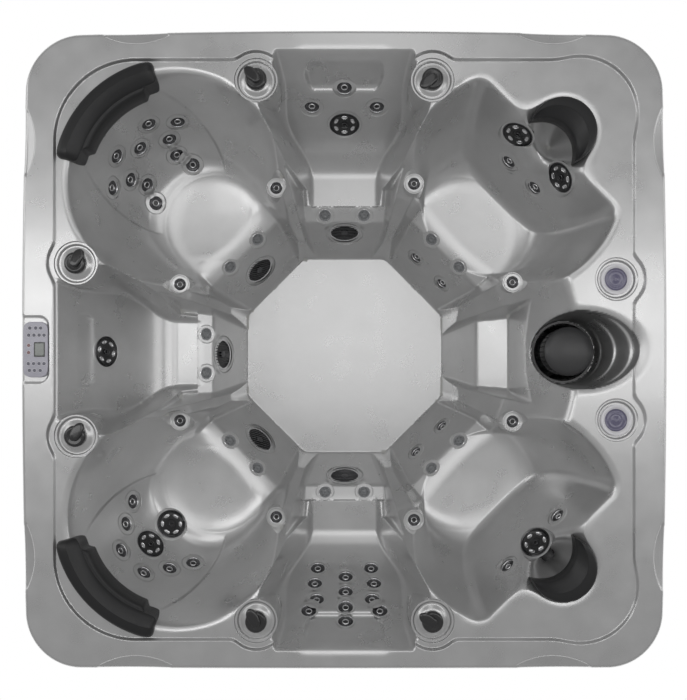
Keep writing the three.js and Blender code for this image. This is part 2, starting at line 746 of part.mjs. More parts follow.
// Puts a fitting on the shell and returns its solid, the middle of its back end and its matrix
function fit(kind, x, y, options = {}) {
  const sides = options.sides ?? fitting.sides;
  const matrix = seatOn(x, y, kind.face, options.upright, kind.sink ? 0 : fitting.deepestSeat);
  if (kind.sink) {
    matrix.premultiply(new THREE.Matrix4().makeTranslation(0, 0, -kind.sink));
  }
  cutters.push(solidFrom(fittingCutter(kind, sides).applyMatrix4(matrix)));
  if (kind.pocket && kind.sink) {
    const pocket = new THREE.CylinderGeometry(kind.pocket, kind.pocket, fitting.pocketAbove, fitting.pocketSides);
    pocket.rotateX(Math.PI / 2).translate(0, 0, fitting.pocketAbove / 2 - gap.fit);
    cutters.push(solidFrom(pocket.applyMatrix4(matrix)));
  }
  const make = options.make ?? plainFitting;
  const back = new THREE.Vector3(0, 0, -kind.length + 2 * pipe.radius).applyMatrix4(matrix).toArray();
  return { solid: solidFrom(make(kind, sides).applyMatrix4(matrix)), back, matrix };
}

// A place in a seat's own directions, as shares of a unit from a middle point
function seatPlace(seat, middle, unit, [outShare, leftShare]) {
  const u = middle + unit * outShare;
  const v = unit * leftShare;
  return [u * seat.cos - v * seat.sin, u * seat.sin + v * seat.cos];
}

function bigJetHousing(kind, sides) {
  const bore = kind.pin + gap.run;
  const boreFloor = -kind.pocketDepth - kind.pinDepth;
  return lathe([
    [0, -kind.length], [kind.face, -kind.length], [kind.face, kind.lift], [kind.pocket, kind.lift],
    [kind.pocketFloor, -kind.pocketDepth], [bore, -kind.pocketDepth], [bore, boreFloor], [0, boreFloor],
  ], sides);
}

const rotor = { hub: 14, dish: 5 };

// The spinning face of a large jet, on its own pin in the housing; it clears the flats of the pocket round it
function rotorFace(kind, sides) {
  const floor = -kind.pocketDepth + gap.run;
  const pin = kind.pin * Math.cos(Math.PI / sides);
  const pinFoot = floor - kind.pinDepth + gap.run;
  return lathe([
    [0, pinFoot], [pin, pinFoot], [pin, floor], [kind.rotorFoot, floor], [kind.rotorTop, kind.lift],
    [rotor.hub, kind.lift - rotor.dish], [0, kind.lift - rotor.dish],
  ], sides);
}

// Places of the jets as shares of the seat's own unit, counted outward and then to the left
const cornerUnit = { middle: cornerSeat.reach, unit: cornerSeat.radius };
const middleUnit = { middle: tub.halfDepth - inset.middleJets, unit: 230 };
const seatSets = [
  {
    name: 'northwest', seat: seats.northWest, ...cornerUnit, valve: 0, valveJet: 0, bigShares: [],
    smallShares: [[0.6, -0.44], [0.75, -0.22], [0.59, -0.27], [0.7, 0], [0.48, -0.22], [0.33, -0.27],
      [0.32, 0.28], [0.48, 0.21], [0.58, 0.29], [0.59, 0.47], [0.75, 0.22]],
  },
  {
    name: 'southwest', seat: seats.southWest, ...cornerUnit, valve: 3, valveJet: 0,
    chains: [[0, 1, 2, 3, 4, 5], [6, 7, 2]], bigShares: [[0.37, -0.02], [0.6, -0.02]],
    smallShares: [[0.42, -0.45], [0.59, -0.33], [0.75, -0.17], [0.75, 0.14], [0.6, 0.29], [0.43, 0.42]],
  },
  {
    name: 'northeast', seat: seats.northEast, ...cornerUnit, chains: [[2, 0, 1, 3]],
    bigShares: [[0.41, 0.28], [0.41, -0.28]],
    smallShares: [[0.25, 0.18], [0.25, -0.18]],
  },
  {
    name: 'southeast', seat: seats.southEast, ...cornerUnit, chains: [[0, 2, 1]], valve: 5, valveJet: 1,
    bigShares: [[0.42, 0]],
    smallShares: [[0.38, 0.33], [0.38, -0.35]],
  },
  {
    name: 'north', seat: seats.north, ...middleUnit, valve: 1, valveJet: 2, bigShares: [[-0.06, 0]],
    smallShares: [[0.14, 0.54], [0.36, 0], [0.14, -0.54]],
  },
  {
    name: 'south', seat: seats.south, ...middleUnit, valve: 4, valveJet: 11, bigShares: [],
    smallShares: [[-0.2, 0.46], [-0.01, 0.5], [0.18, 0.46], [0.31, 0.58], [0.45, 0.02], [0.27, 0.02],
      [0.09, 0.02], [-0.09, 0.02], [-0.2, -0.46], [-0.01, -0.5], [0.18, -0.46], [0.31, -0.58]],
  },
  {
    name: 'west', seat: seats.west, middle: tub.halfWidth - inset.leftJets, unit: middleUnit.unit,
    valve: 2, valveJet: 0, bigShares: [[0.02, 0]], smallShares: [],
  },
];

const rotorPlaces = [];
const valvePlaces = [];
const nodes = [];

function valveBody(kind, sides) {
  return lathe([
    [0, -kind.length], [kind.face, -kind.length], [kind.face, kind.lift], [kind.spindle, kind.lift],
    [kind.spindle, kind.spindleTop], [0, kind.spindleTop],
  ], sides);
}

// The way of a pipe from a valve to a jet, out along a lane behind a middle seat's back
function valveRun(set, from, to) {
  const { seat } = set;
  if (seat.kind === 'round') {
    return [from, to];
  }
  if (seat.kind === 'shelf') {
    const reach = tub.halfDepth - inset.lane;
    const middle = [(from[0] + to[0]) / 2, -reach + seatJet.length, (from[2] + to[2]) / 2];
    return [from, [from[0], -reach, from[2]], middle, to];
  }
  const reach = seat === seats.west ? tub.halfWidth - inset.leftLane : tub.halfDepth - inset.lane;
  const outAt = (point) => {
    const v = across(seat, point[0], point[1]);
    return [reach * seat.cos - v * seat.sin, reach * seat.sin + v * seat.cos, point[2]];
  };
  return [from, outAt(from), outAt(to), to];
}

for (const set of seatSets) {
  const solids = [];
  const backs = [];
  for (const share of set.smallShares) {
    const [x, y] = seatPlace(set.seat, set.middle, set.unit, share);
    const jet = fit(seatJet, x, y);
    solids.push(jet.solid);
    backs.push(jet.back);
  }
  set.bigShares.forEach((share, k) => {
    const [x, y] = seatPlace(set.seat, set.middle, set.unit, share);
    const jet = fit(bigJet, x, y, { make: bigJetHousing, sides: fitting.bigSides });
    solids.push(jet.solid);
    backs.push(jet.back);
    rotorPlaces.push({ name: `${set.name}_rotor_${k + 1}`, matrix: jet.matrix });
  });
  for (const chain of set.chains ?? [[...backs.keys()]]) {
    if (chain.length > 1) {
      solids.push(pipeRun(chain.map((k) => backs[k]), pipe.radius, pipe.sides));
    }
  }
  if (set.valve !== undefined) {
    const place = valves[set.valve];
    const body = fit(valve, place.x, place.y, { make: valveBody, sides: fitting.roundSides, upright: true });
    valvePlaces.push({ name: place.name, matrix: body.matrix });
    const way = valveRun(set, body.back, backs[set.valveJet]);
    solids.push(body.solid, pipeRun(way, pipe.radius, pipe.sides));
  }
  nodes.push([`${set.name}_jet_plumbing`, joinAll(solids), 'chrome']);
}

// Three lines run round the footwell: from ledge jet to ledge jet, injector to injector and cover to cover
const ledgeRing = { reach: shortHalf - inset.ledgeRing, count: 8 };
const injectorRing = {
  front: middleSeat.front - stride.injector, cornerFront: cornerSeat.front - stride.cornerInjector, side: 80,
  bend: { reach: shortHalf - inset.lineCorner, every: 2 },
};
const suctionRing = { front: footwell.apothem + stride.suction, footSide: 78 };

const ledgeFittings = [];
for (let k = 0; k < ledgeRing.count; k += 1) {
  const angle = (2 * Math.PI * (k + 1 / 2)) / ledgeRing.count;
  const x = ledgeRing.reach * Math.cos(angle);
  const y = ledgeRing.reach * Math.sin(angle);
  const length = tub.height - shellDepth(x, y) - rise.ledgeLine;
  ledgeFittings.push(fit({ ...ledgeJet, length }, x, y, { sides: fitting.smallSides, upright: true }));
}

// Fittings joined by one line through their backs, bent outward on the steps from seat to seat if asked
function fittingLine(fittings, bend) {
  const way = [];
  fittings.forEach(({ back }, k) => {
    const last = k > 0 ? fittings[k - 1].back : back;
    if (bend && k > 0 && k % bend.every === 0) {
      const [x, y] = [(back[0] + last[0]) / 2, (back[1] + last[1]) / 2];
      const share = bend.reach / Math.hypot(x, y);
      way.push([x * share, y * share, Math.min(back[2], last[2])]);
    }
    way.push(back);
  });
  return joinAll([...fittings.map(({ solid }) => solid), pipeRun(way, pipe.radius, pipe.sides)]);
}

nodes.push(['ledge_jet_line', fittingLine(ledgeFittings), 'chrome']);

// The seats in the order in which the lines pass them
const seatOrder = [
  seats.northEast, seats.north, seats.northWest, seats.west, seats.southWest, seats.south, seats.southEast,
];
const injectorFittings = [];
for (const seat of seatOrder) {
  const front = seat.kind === 'middle' ? injectorRing.front : injectorRing.cornerFront;
  for (const side of [-1, 1]) {
    const [x, y] = seatPlace(seat, front, injectorRing.side, [0, side]);
    injectorFittings.push(fit(injector, x, y, { sides: fitting.smallSides }));
  }
}
nodes.push(['injector_air_line', fittingLine(injectorFittings, injectorRing.bend), 'clear']);

const suctionFittings = [];
for (const seat of seatOrder) {
  const shares = seat.kind === 'shelf' ? [-1, 1] : [0];
  for (const side of shares) {
    const [x, y] = seatPlace(seat, suctionRing.front, suctionRing.footSide, [0, side]);
    const sides = side === 0 ? fitting.roundSides : fitting.smallSides;
    suctionFittings.push(fit(side === 0 ? suction : footJet, x, y, { sides }));
  }
}
nodes.push(['suction_line', fittingLine(suctionFittings), 'grey']);

// The two lit cups share a cable behind the filter well
const cupLine = { reach: tub.halfWidth - inset.cupCable, level: tub.height - drop.cupCable, radius: 5 };
function cupBody(kind, sides) {
  return lathe([
    [0, -kind.length], [kind.face, -kind.length], [kind.face, kind.lift],
    [kind.lens, kind.lift], [kind.lens, kind.lift - kind.lensSink], [0, kind.lift - kind.lensSink],
  ], sides);
}

const cupOptions = { make: cupBody, sides: fitting.roundSides, upright: true };
const cupParts = cups.map((place) => fit(cup, place.x, place.y, cupOptions));
const cupCable = pipeRun([
  cupParts[0].back, [cups[0].x, cups[0].y, cupLine.level], [cupLine.reach, cups[0].y, cupLine.level],
  [cupLine.reach, cups[1].y, cupLine.level], [cups[1].x, cups[1].y, cupLine.level], cupParts[1].back,
], cupLine.radius, pipe.sides);
nodes.push(['light_cups', joinAll([cupParts[0].solid, cupParts[1].solid, cupCable]), 'clear']);

// Valve caps turn on their spindles, with a raised pointer across the top
const knob = { radius: 38, topRadius: 35, top: 32, pointerHalf: 7, pointerReach: 34, pointerLift: 6 };
const pointerAngles = [135, 60, 150, 215, 120, 60];
valvePlaces.forEach(({ name, matrix }, k) => {
  const foot = valve.lift + gap.run;
  const bore = valve.spindle + 2 * gap.run;
  const body = solidFrom(lathe([
    [0, valve.spindleTop + gap.run], [bore, valve.spindleTop + gap.run], [bore, foot],
    [knob.radius, foot], [knob.topRadius, knob.top], [0, knob.top],
  ], fitting.roundSides));
  const pointer = new THREE.BoxGeometry(knob.pointerReach, 2 * knob.pointerHalf, 2 * knob.pointerLift);
  pointer.translate(knob.pointerReach / 2, 0, knob.top).rotateZ(turn(pointerAngles[k]));
  const cap = body.add(solidFrom(pointer));
  nodes.push([`valve_knob_${name}`, cap.transform(matrix.elements), 'black']);
});

for (const { name, matrix } of rotorPlaces) {
  nodes.push([name, solidFrom(rotorFace(bigJet, fitting.roundSides).applyMatrix4(matrix)), 'black']);
}

// Control panel on the left rim, with a body through the rim and sixteen keys in blind bores
const panel = {
  x: inset.panel - tub.halfWidth, half: 44, halfLength: 101, thick: 6, endSteps: 6,
  bodyX: inset.panelBody - tub.halfWidth, bodyHalf: 26, bodyHalfLength: 80, bodyDepth: 26,
};
const key = { sides: 5, radius: 6, proud: 1.4, travel: 0.8, bore: 4, spare: 0.3 };
const keyRows = [
  { rowShare: 0.76, columnShares: [-0.44, 0.03, 0.43] },
  { rowShare: 0.51, columnShares: [-0.54, -0.11, 0.31, 0.7] },
  { rowShare: 0.15, columnShares: [-0.54] },
  { rowShare: -0.1, columnShares: [-0.54] },
  { rowShare: -0.49, columnShares: [-0.57, -0.14, 0.3, 0.7] },
  { rowShare: -0.73, columnShares: [-0.48, -0.07, 0.39] },
];
const panelTop = tub.height + gap.fit + panel.thick;

function panelOutline() {
  const points = [];
  const flatHalf = panel.halfLength - panel.half / 2;
  for (const end of [1, -1]) {
    for (let k = 0; k <= panel.endSteps; k += 1) {
      const angle = (Math.PI * k) / panel.endSteps;
      const x = end * panel.half * Math.cos(angle);
      points.push([panel.x + x, end * (flatHalf + (panel.half / 2) * Math.sin(angle))]);
    }
  }
  return points;
}

let panelSolid = solidFrom(extrude(panelOutline(), tub.height + gap.fit, panelTop, 1));
const { bodyX, bodyHalf, bodyHalfLength, bodyDepth } = panel;
const bodyTop = tub.height + gap.fit + panel.thick / 2;
panelSolid = panelSolid.add(box(bodyX - bodyHalf, bodyX + bodyHalf, -bodyHalfLength, bodyHalfLength,
  tub.height - bodyDepth, bodyTop));
cutters.push(box(bodyX - bodyHalf - gap.run, bodyX + bodyHalf + gap.run, -bodyHalfLength - gap.run,
  bodyHalfLength + gap.run, tub.height - 2 * bodyDepth, tub.height + fitting.cutAbove));

const keyBase = panelTop - key.bore + key.travel + key.spare;
let keyNumber = 0;
for (const row of keyRows) {
  for (const share of row.columnShares) {
    keyNumber += 1;
    const [x, y] = [panel.x + share * panel.half, row.rowShare * panel.halfLength];
    const hole = key.radius + gap.fit;
    const bore = new THREE.CylinderGeometry(hole, hole, 2 * key.bore, key.sides);
    panelSolid = panelSolid.subtract(solidFrom(bore.rotateX(Math.PI / 2).translate(x, y, panelTop)));
    const height = panelTop + key.proud - keyBase;
    const cap = new THREE.CylinderGeometry(key.radius, key.radius, height, key.sides);
    cap.rotateX(Math.PI / 2).translate(x, y, keyBase + height / 2);
    nodes.push([`key_${String(keyNumber).padStart(2, '0')}`, solidFrom(cap), 'key']);
  }
}
nodes.push(['control_panel', panelSolid, 'panel']);

// Head pillows: closed cushions swept along an arc, cut clear of the shell below them
const block = formedBlock();

function sweptCushion(steps, sectionAt) {
  const points = [];
  const triangles = [];
  const sections = [];
  for (let k = 0; k <= steps; k += 1) {
    const ids = sectionAt(k / steps).map((point) => points.push(point) - 1);
    sections.push(ids);
  }
  for (let k = 0; k < steps; k += 1) {
    loopBand(triangles, sections[k], sections[k + 1]);
  }
  for (const [ids, first] of [[sections[0], false], [sections[steps], true]]) {
    const middle = points.length;
    const centre = [0, 0, 0];
    for (const id of ids) {
      centre.forEach((value, axis) => {
        centre[axis] = value + points[id][axis] / ids.length;
      });
    }
    points.push(centre);
    for (let k = 0; k < ids.length; k += 1) {
      const next = ids[(k + 1) % ids.length];
      triangles.push(first ? [ids[k], next, middle] : [next, ids[k], middle]);
    }
  }
  const solid = solidFromLists(points, triangles);
  return solid.volume() > 0 ? solid : solidFromLists(points, triangles.map(([a, b, c]) => [a, c, b]));
}

const pillow = {
  steps: 8, halfAngle: 34, apronAngle: 27, inner: 328, crease: 350, outer: 438, crown: 34, depth: 92,
  taperShare: 0.75, taperPower: 8,
};
// Section of a corner pillow: shares of its width from the outer edge, and of its crown or depth
const pillowSectionShares = [
  [0, -0.5], [0, 0.35], [0.1, 0.8], [0.34, 1], [0.68, 0.65], [0.8, 0.1],
  [0.98, -0.4], [0.92, -0.95], [0.4, -0.9],
];

function cornerPillow(seat) {
  const deck = tub.height - level.deck;
  const solid = sweptCushion(pillow.steps, (t) => {
    const angle = pillow.halfAngle * (2 * t - 1);
    const apron = smoothStep(pillow.halfAngle, pillow.apronAngle, Math.abs(angle));
    const inner = pillow.crease + (pillow.inner - pillow.crease) * apron;
    const full = Math.sqrt(1 - pillow.taperShare * (2 * t - 1) ** pillow.taperPower);
    return pillowSectionShares.map(([widthShare, heightShare]) => {
      const r = pillow.outer + (inner - pillow.outer) * (1 / 2 + (widthShare - 1 / 2) * full);
      const rise = heightShare > 0 ? heightShare * pillow.crown * full : heightShare * pillow.depth;
      const [u, v] = [cornerSeat.reach + r * Math.cos(turn(angle)), r * Math.sin(turn(angle))];
      return [u * seat.cos - v * seat.sin, u * seat.sin + v * seat.cos, deck + rise];
    });
  });
  return clearOfShell(seat, solid);
}

const clearance = { up: 0.6, inward: 0.6 };

// Cuts a cushion with the formed surface moved a little up and towards the seat
function clearOfShell(seat, solid) {
  const moved = block.translate([-clearance.inward * seat.cos, -clearance.inward * seat.sin, clearance.up]);
  return solid.subtract(moved).subtract(block);
}

const crescent = {
  steps: 8, outerAngle: 118, innerReach: neck.reach - stride.crescent, innerRadius: 112, innerAngle: 74,
  crown: 28, depth: 84, tip: 8, taperShare: 0.8, taperPower: 8,
};
const crescentSectionShares = [
  [0, -0.5], [0, 0.3], [0.2, 0.9], [0.5, 1], [0.85, 0.4], [1, -0.35], [0.85, -0.9], [0.4, -1],
];

function crescentPillow(seat) {
  const deck = tub.height - level.deck;
  const solid = sweptCushion(crescent.steps, (t) => {
    const swing = 2 * t - 1;
    const outer = turn(crescent.outerAngle * swing);
    const inner = turn(crescent.innerAngle * swing);
    const outerRadius = neck.radius - clearance.inward;
    const { innerReach, innerRadius } = crescent;
    const a = [neck.reach + outerRadius * Math.cos(outer), outerRadius * Math.sin(outer)];
    const b = [innerReach + innerRadius * Math.cos(inner), innerRadius * Math.sin(inner)];
    const width = Math.hypot(a[0] - b[0], a[1] - b[1]);
    const full = Math.sqrt(1 - crescent.taperShare * swing ** crescent.taperPower);
    return crescentSectionShares.map(([widthShare, heightShare]) => {
      const share = widthShare * Math.max(1, crescent.tip / width);
      const [u, v] = [a[0] + (b[0] - a[0]) * share, a[1] + (b[1] - a[1]) * share];
      const rise = (heightShare > 0 ? crescent.crown : crescent.depth) * heightShare * full;
      return [u * seat.cos - v * seat.sin, u * seat.sin + v * seat.cos, deck + rise];
    });
  });
  return clearOfShell(seat, solid);
}

nodes.push(['pillow_northwest', cornerPillow(seats.northWest), 'pillow']);
nodes.push(['pillow_southwest', cornerPillow(seats.southWest), 'pillow']);
nodes.push(['pillow_northeast', crescentPillow(seats.northEast), 'pillow']);
nodes.push(['pillow_southeast', crescentPillow(seats.southEast), 'pillow']);

// Filter: canister hung in the well's floor, with a pleated cartridge under a domed lid
const canister = { radius: 114, wall: 4, flange: 121, lift: 4, floor: rise.canister, sides: 12, cutBelow: 104 };
const cartridge = { radius: 78, inner: 70, pleats: 10, top: tub.height - drop.cartridge, post: 16 };
const lid = { radius: 93, rimHeight: 8, dome: 14, level: tub.height - drop.lid, crown: 44 };
const wellMatrix = seatOn(well.reach, 0, canister.flange, true, fitting.deepestSeat);
const wellFloor = wellMatrix.elements[14];

function upright(geometry) {
  return solidFrom(geometry.translate(well.reach, 0, 0));
}

const canisterInner = canister.radius - canister.wall;
const flangeTop = wellFloor + canister.lift;
const canisterFloor = canister.floor + canister.wall;
nodes.push(['filter_canister', upright(lathe([
  [0, canister.floor], [canister.radius, canister.floor], [canister.radius, wellFloor],
  [canister.flange, wellFloor], [canister.flange, flangeTop], [canisterInner, flangeTop],
  [canisterInner, canisterFloor], [0, canisterFloor],
], canister.sides)), 'black']);
const holeRadius = canister.radius + gap.fit;
const rebateRadius = canister.flange + gap.fit;
const rebateFloor = wellFloor - gap.fit;
cutters.push(upright(lathe([
  [0, rebateFloor - canister.cutBelow], [holeRadius, rebateFloor - canister.cutBelow],
  [holeRadius, rebateFloor], [rebateRadius, rebateFloor],
  [rebateRadius, wellFloor + fitting.cutAbove], [0, wellFloor + fitting.cutAbove],
], canister.sides)));

const star = [];
for (let k = 0; k < 2 * cartridge.pleats; k += 1) {
  const angle = (Math.PI * k) / cartridge.pleats;
  const radius = k % 2 === 0 ? cartridge.radius : cartridge.inner;
  star.push([well.reach + radius * Math.cos(angle), radius * Math.sin(angle)]);
}
nodes.push(['filter_cartridge', solidFrom(extrude(star, canisterFloor + gap.fit, cartridge.top, 1)), 'cloth']);
const postFoot = cartridge.top + gap.fit;
const lidRim = lid.level + lid.rimHeight;
nodes.push(['filter_lid', upright(lathe([
  [0, postFoot], [cartridge.post, postFoot], [cartridge.post, lid.level], [lid.radius, lid.level],
  [lid.radius, lidRim], [lid.crown, lidRim + lid.dome], [0, lidRim + lid.dome],
], canister.sides)), 'grey']);

// Base tray, frame and cabinet
const tray = {
  halfX: tub.halfWidth - inset.tray, halfY: tub.halfDepth - inset.tray, radius: 150, thick: 20, rounds: 3,
};
const cabinet = {
  halfX: tub.halfWidth - inset.cabinet, halfY: tub.halfDepth - inset.cabinet, radius: 170, wall: 18,
  top: tub.height - drop.cabinet, rounds: 5, split: 2,
};

function roundedRectangle(halfX, halfY, radius) {
  const shape = new THREE.Shape();
  shape.moveTo(halfX, -halfY + radius);
  shape.lineTo(halfX, halfY - radius);
  shape.absarc(halfX - radius, halfY - radius, radius, 0, Math.PI / 2);
  shape.lineTo(-halfX + radius, halfY);
  shape.absarc(-halfX + radius, halfY - radius, radius, Math.PI / 2, Math.PI);
  shape.lineTo(-halfX, -halfY + radius);
  shape.absarc(-halfX + radius, -halfY + radius, radius, Math.PI, 1.5 * Math.PI);
  shape.lineTo(halfX - radius, -halfY);
  shape.absarc(halfX - radius, -halfY + radius, radius, 1.5 * Math.PI, 2 * Math.PI);
  return shape;
}

const traySolid = solidFrom(new THREE.ExtrudeGeometry(roundedRectangle(tray.halfX, tray.halfY, tray.radius),
  { depth: tray.thick, bevelEnabled: false, curveSegments: tray.rounds }));
nodes.push(['base_tray', traySolid, 'black']);

// One cabinet panel: a straight side, then the round corner that follows it
function cabinetPanel(halfAcross, halfAlong) {
  const { radius, wall, split } = cabinet;
  const outer = [];
  const start = -halfAlong + radius;
  outer.push([halfAcross, start + split]);
  const inner = [[halfAcross - wall, start + split]];
  for (let k = 0; k <= cabinet.rounds; k += 1) {
    const angle = (Math.PI / 2) * (k / cabinet.rounds);
    const [cx, cy] = [halfAcross - radius, halfAlong - radius];
    outer.push([cx + radius * Math.cos(angle), cy + radius * Math.sin(angle)]);
    inner.push([cx + (radius - wall) * Math.cos(angle), cy + (radius - wall) * Math.sin(angle)]);
  }
  return [...outer, ...inner.reverse()];
}

const cabinetSides = [['right', 0], ['back', 90], ['left', 180], ['front', 270]];
for (const [name, angle] of cabinetSides) {
  const facing = angle % 180 === 0 ? [cabinet.halfX, cabinet.halfY] : [cabinet.halfY, cabinet.halfX];
  const outline = cabinetPanel(...facing);
  const geometry = extrude(outline, tray.thick + gap.fit, cabinet.top, 1).rotateZ(turn(angle));
  nodes.push([`cabinet_panel_${name}`, solidFrom(geometry), 'cabinet']);
}

const frame = {
  x: tub.halfWidth - inset.frameX, y: tub.halfDepth - inset.frameY, beam: 40, postHalf: 25,
  railLevel: tub.height - drop.frameRail, sleeper: tub.halfWidth - inset.sleeper, sleeperHalf: 30,
};
const trayTop = tray.thick + gap.fit;
const half = frame.beam / 2;
const frameSolids = [];
const sleeperTop = rise.footwellFloor - tub.wall - gap.fit;
const postTop = tub.height - tub.wall - gap.fit;
for (const side of [-1, 1]) {
  const [x, y] = [side * frame.x, side * frame.y];
  for (const z of [trayTop, frame.railLevel]) {
    frameSolids.push(box(-frame.x, frame.x, y - half, y + half, z, z + frame.beam));
    frameSolids.push(box(x - half, x + half, -frame.y, frame.y, z, z + frame.beam));
  }
  const middle = side * frame.sleeper;
  frameSolids.push(box(
    middle - frame.sleeperHalf, middle + frame.sleeperHalf, -frame.y, frame.y, trayTop, sleeperTop,
  ));
  for (const postY of [-frame.y, frame.y]) {
    frameSolids.push(box(
      x - frame.postHalf, x + frame.postHalf, postY - frame.postHalf, postY + frame.postHalf, trayTop, postTop,
    ));
  }
}
nodes.push(['support_frame', joinAll(frameSolids).subtract(shellBelow()), 'steel']);

// The shell with a little air below it, used to trim the tops of the posts
function shellBelow() {
  return shellSolid.translate([0, 0, -gap.fit]);
}

// Pumps, blower and heater stand on the tray under the corner seats
const equipment = { x: tub.halfWidth - inset.equipmentX, y: tub.halfDepth - inset.equipmentY };
const pump = {
  sides: 8, foot: 60, clear: 30, motor: 78, motorLength: 250, wet: 100, wetLength: 90, overlap: 1,
  port: 27, portRise: 60,
};

function pumpSolid(sideX, sideY) {
  const axisHeight = trayTop + pump.wet + pump.clear;
  const reach = -(pump.motorLength + pump.wetLength) / 2;
  const portTop = axisHeight + pump.wet + pump.portRise;
  const motor = new THREE.CylinderGeometry(pump.motor, pump.motor, pump.motorLength, pump.sides);
  motor.rotateZ(Math.PI / 2).translate(0, 0, axisHeight);
  const wet = new THREE.CylinderGeometry(pump.wet, pump.wet, pump.wetLength, pump.sides);
  wet.rotateZ(Math.PI / 2).translate(reach + pump.overlap, 0, axisHeight);
  const solids = [solidFrom(motor), solidFrom(wet)];
  solids.push(box(-pump.motorLength / 2, pump.motorLength / 2, -pump.foot, pump.foot, trayTop, axisHeight));
  solids.push(bar([reach, 0, axisHeight], [reach, 0, portTop], pump.port, fitting.sides));
  const spin = new THREE.Matrix4().makeRotationZ(sideX > 0 ? 0 : Math.PI);
  spin.setPosition(sideX * equipment.x, sideY * equipment.y, 0);
  return joinAll(solids).transform(spin.elements);
}

nodes.push(['jet_pump_1', pumpSolid(1, 1), 'black'], ['jet_pump_2', pumpSolid(1, -1), 'black']);

const blower = { radius: 90, height: 190, neck: 26, neckRise: 60 };
const blowerTop = trayTop + blower.height;
const blowerGeometry = lathe([
  [0, trayTop], [blower.radius, trayTop], [blower.radius, blowerTop], [blower.neck, blowerTop + blower.neck],
  [blower.neck, blowerTop + blower.neckRise], [0, blowerTop + blower.neckRise],
], fitting.bigSides);
nodes.push(['air_blower', solidFrom(blowerGeometry.translate(-equipment.x, -equipment.y, 0)), 'black']);

const heater = { half: 170, depth: 60, height: 200, tube: 32, tubeReach: 210, tubeRise: 64 };
const heaterBox = box(
  -heater.half, heater.half, -heater.depth, heater.depth, trayTop, trayTop + heater.height,
);
const tubeLevel = trayTop + heater.tubeRise;
const heaterTube = bar(
  [-heater.tubeReach, -heater.depth, tubeLevel], [heater.tubeReach, -heater.depth, tubeLevel],
  heater.tube, fitting.bigSides,
);
nodes.push(['heater_pack', heaterBox.add(heaterTube).translate([-equipment.x, equipment.y, 0]), 'steel']);

// The shell takes every hole last
let shell = shellSolid;
for (const cutter of cutters) {
  shell = shell.subtract(cutter);
}
nodes.unshift(['acrylic_shell', shell, 'acrylic']);

const materials = {
  acrylic: new THREE.MeshStandardMaterial({ color: 0xb4b4b4, roughness: 0.2, metalness: 0.1 }),
  chrome: new THREE.MeshStandardMaterial({ color: 0xc8c8c8, roughness: 0.12, metalness: 1 }),
  clear: new THREE.MeshStandardMaterial({ color: 0xb9b8c4, roughness: 0.15, metalness: 0 }),
  grey: new THREE.MeshStandardMaterial({ color: 0x6c6c6e, roughness: 0.4, metalness: 0 }),
  black: new THREE.MeshStandardMaterial({ color: 0x1c1c1e, roughness: 0.4, metalness: 0 }),
  key: new THREE.MeshStandardMaterial({ color: 0xa7aab4, roughness: 0.5, metalness: 0 }),
  panel: new THREE.MeshStandardMaterial({ color: 0xb7bac6, roughness: 0.45, metalness: 0 }),
  pillow: new THREE.MeshStandardMaterial({ color: 0x242426, roughness: 0.6, metalness: 0 }),
  cloth: new THREE.MeshStandardMaterial({ color: 0xe4e6e8, roughness: 0.9, metalness: 0 }),
  cabinet: new THREE.MeshStandardMaterial({ color: 0x4a4642, roughness: 0.7, metalness: 0 }),
  steel: new THREE.MeshStandardMaterial({ color: 0x8f9396, roughness: 0.4, metalness: 0.9 }),
};

const hotTub = new THREE.Group();
for (const [name, solid, material] of nodes) {
  const mesh = new THREE.Mesh(bufferGeometry(solid), materials[material].clone());
  mesh.name = name;
  hotTub.add(mesh);
}

export default hotTub;
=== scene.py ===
import bpy
import json
import math
import numpy as np
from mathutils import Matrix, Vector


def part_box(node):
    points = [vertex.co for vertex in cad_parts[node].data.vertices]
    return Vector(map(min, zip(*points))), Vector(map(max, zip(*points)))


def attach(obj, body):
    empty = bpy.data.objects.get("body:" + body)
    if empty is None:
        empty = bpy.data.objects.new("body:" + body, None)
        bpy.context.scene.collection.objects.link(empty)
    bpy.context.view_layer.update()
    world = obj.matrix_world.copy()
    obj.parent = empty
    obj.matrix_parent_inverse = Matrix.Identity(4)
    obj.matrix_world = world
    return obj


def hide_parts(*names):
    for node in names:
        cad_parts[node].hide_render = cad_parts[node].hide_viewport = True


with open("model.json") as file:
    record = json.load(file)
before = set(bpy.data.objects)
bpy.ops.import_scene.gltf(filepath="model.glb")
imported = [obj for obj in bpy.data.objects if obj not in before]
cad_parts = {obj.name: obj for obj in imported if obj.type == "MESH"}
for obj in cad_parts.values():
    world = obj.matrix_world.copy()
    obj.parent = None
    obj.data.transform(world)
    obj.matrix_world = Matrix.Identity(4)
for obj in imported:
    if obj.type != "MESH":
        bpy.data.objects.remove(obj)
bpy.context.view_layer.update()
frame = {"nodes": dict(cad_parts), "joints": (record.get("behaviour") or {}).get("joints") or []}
print("frame loaded")

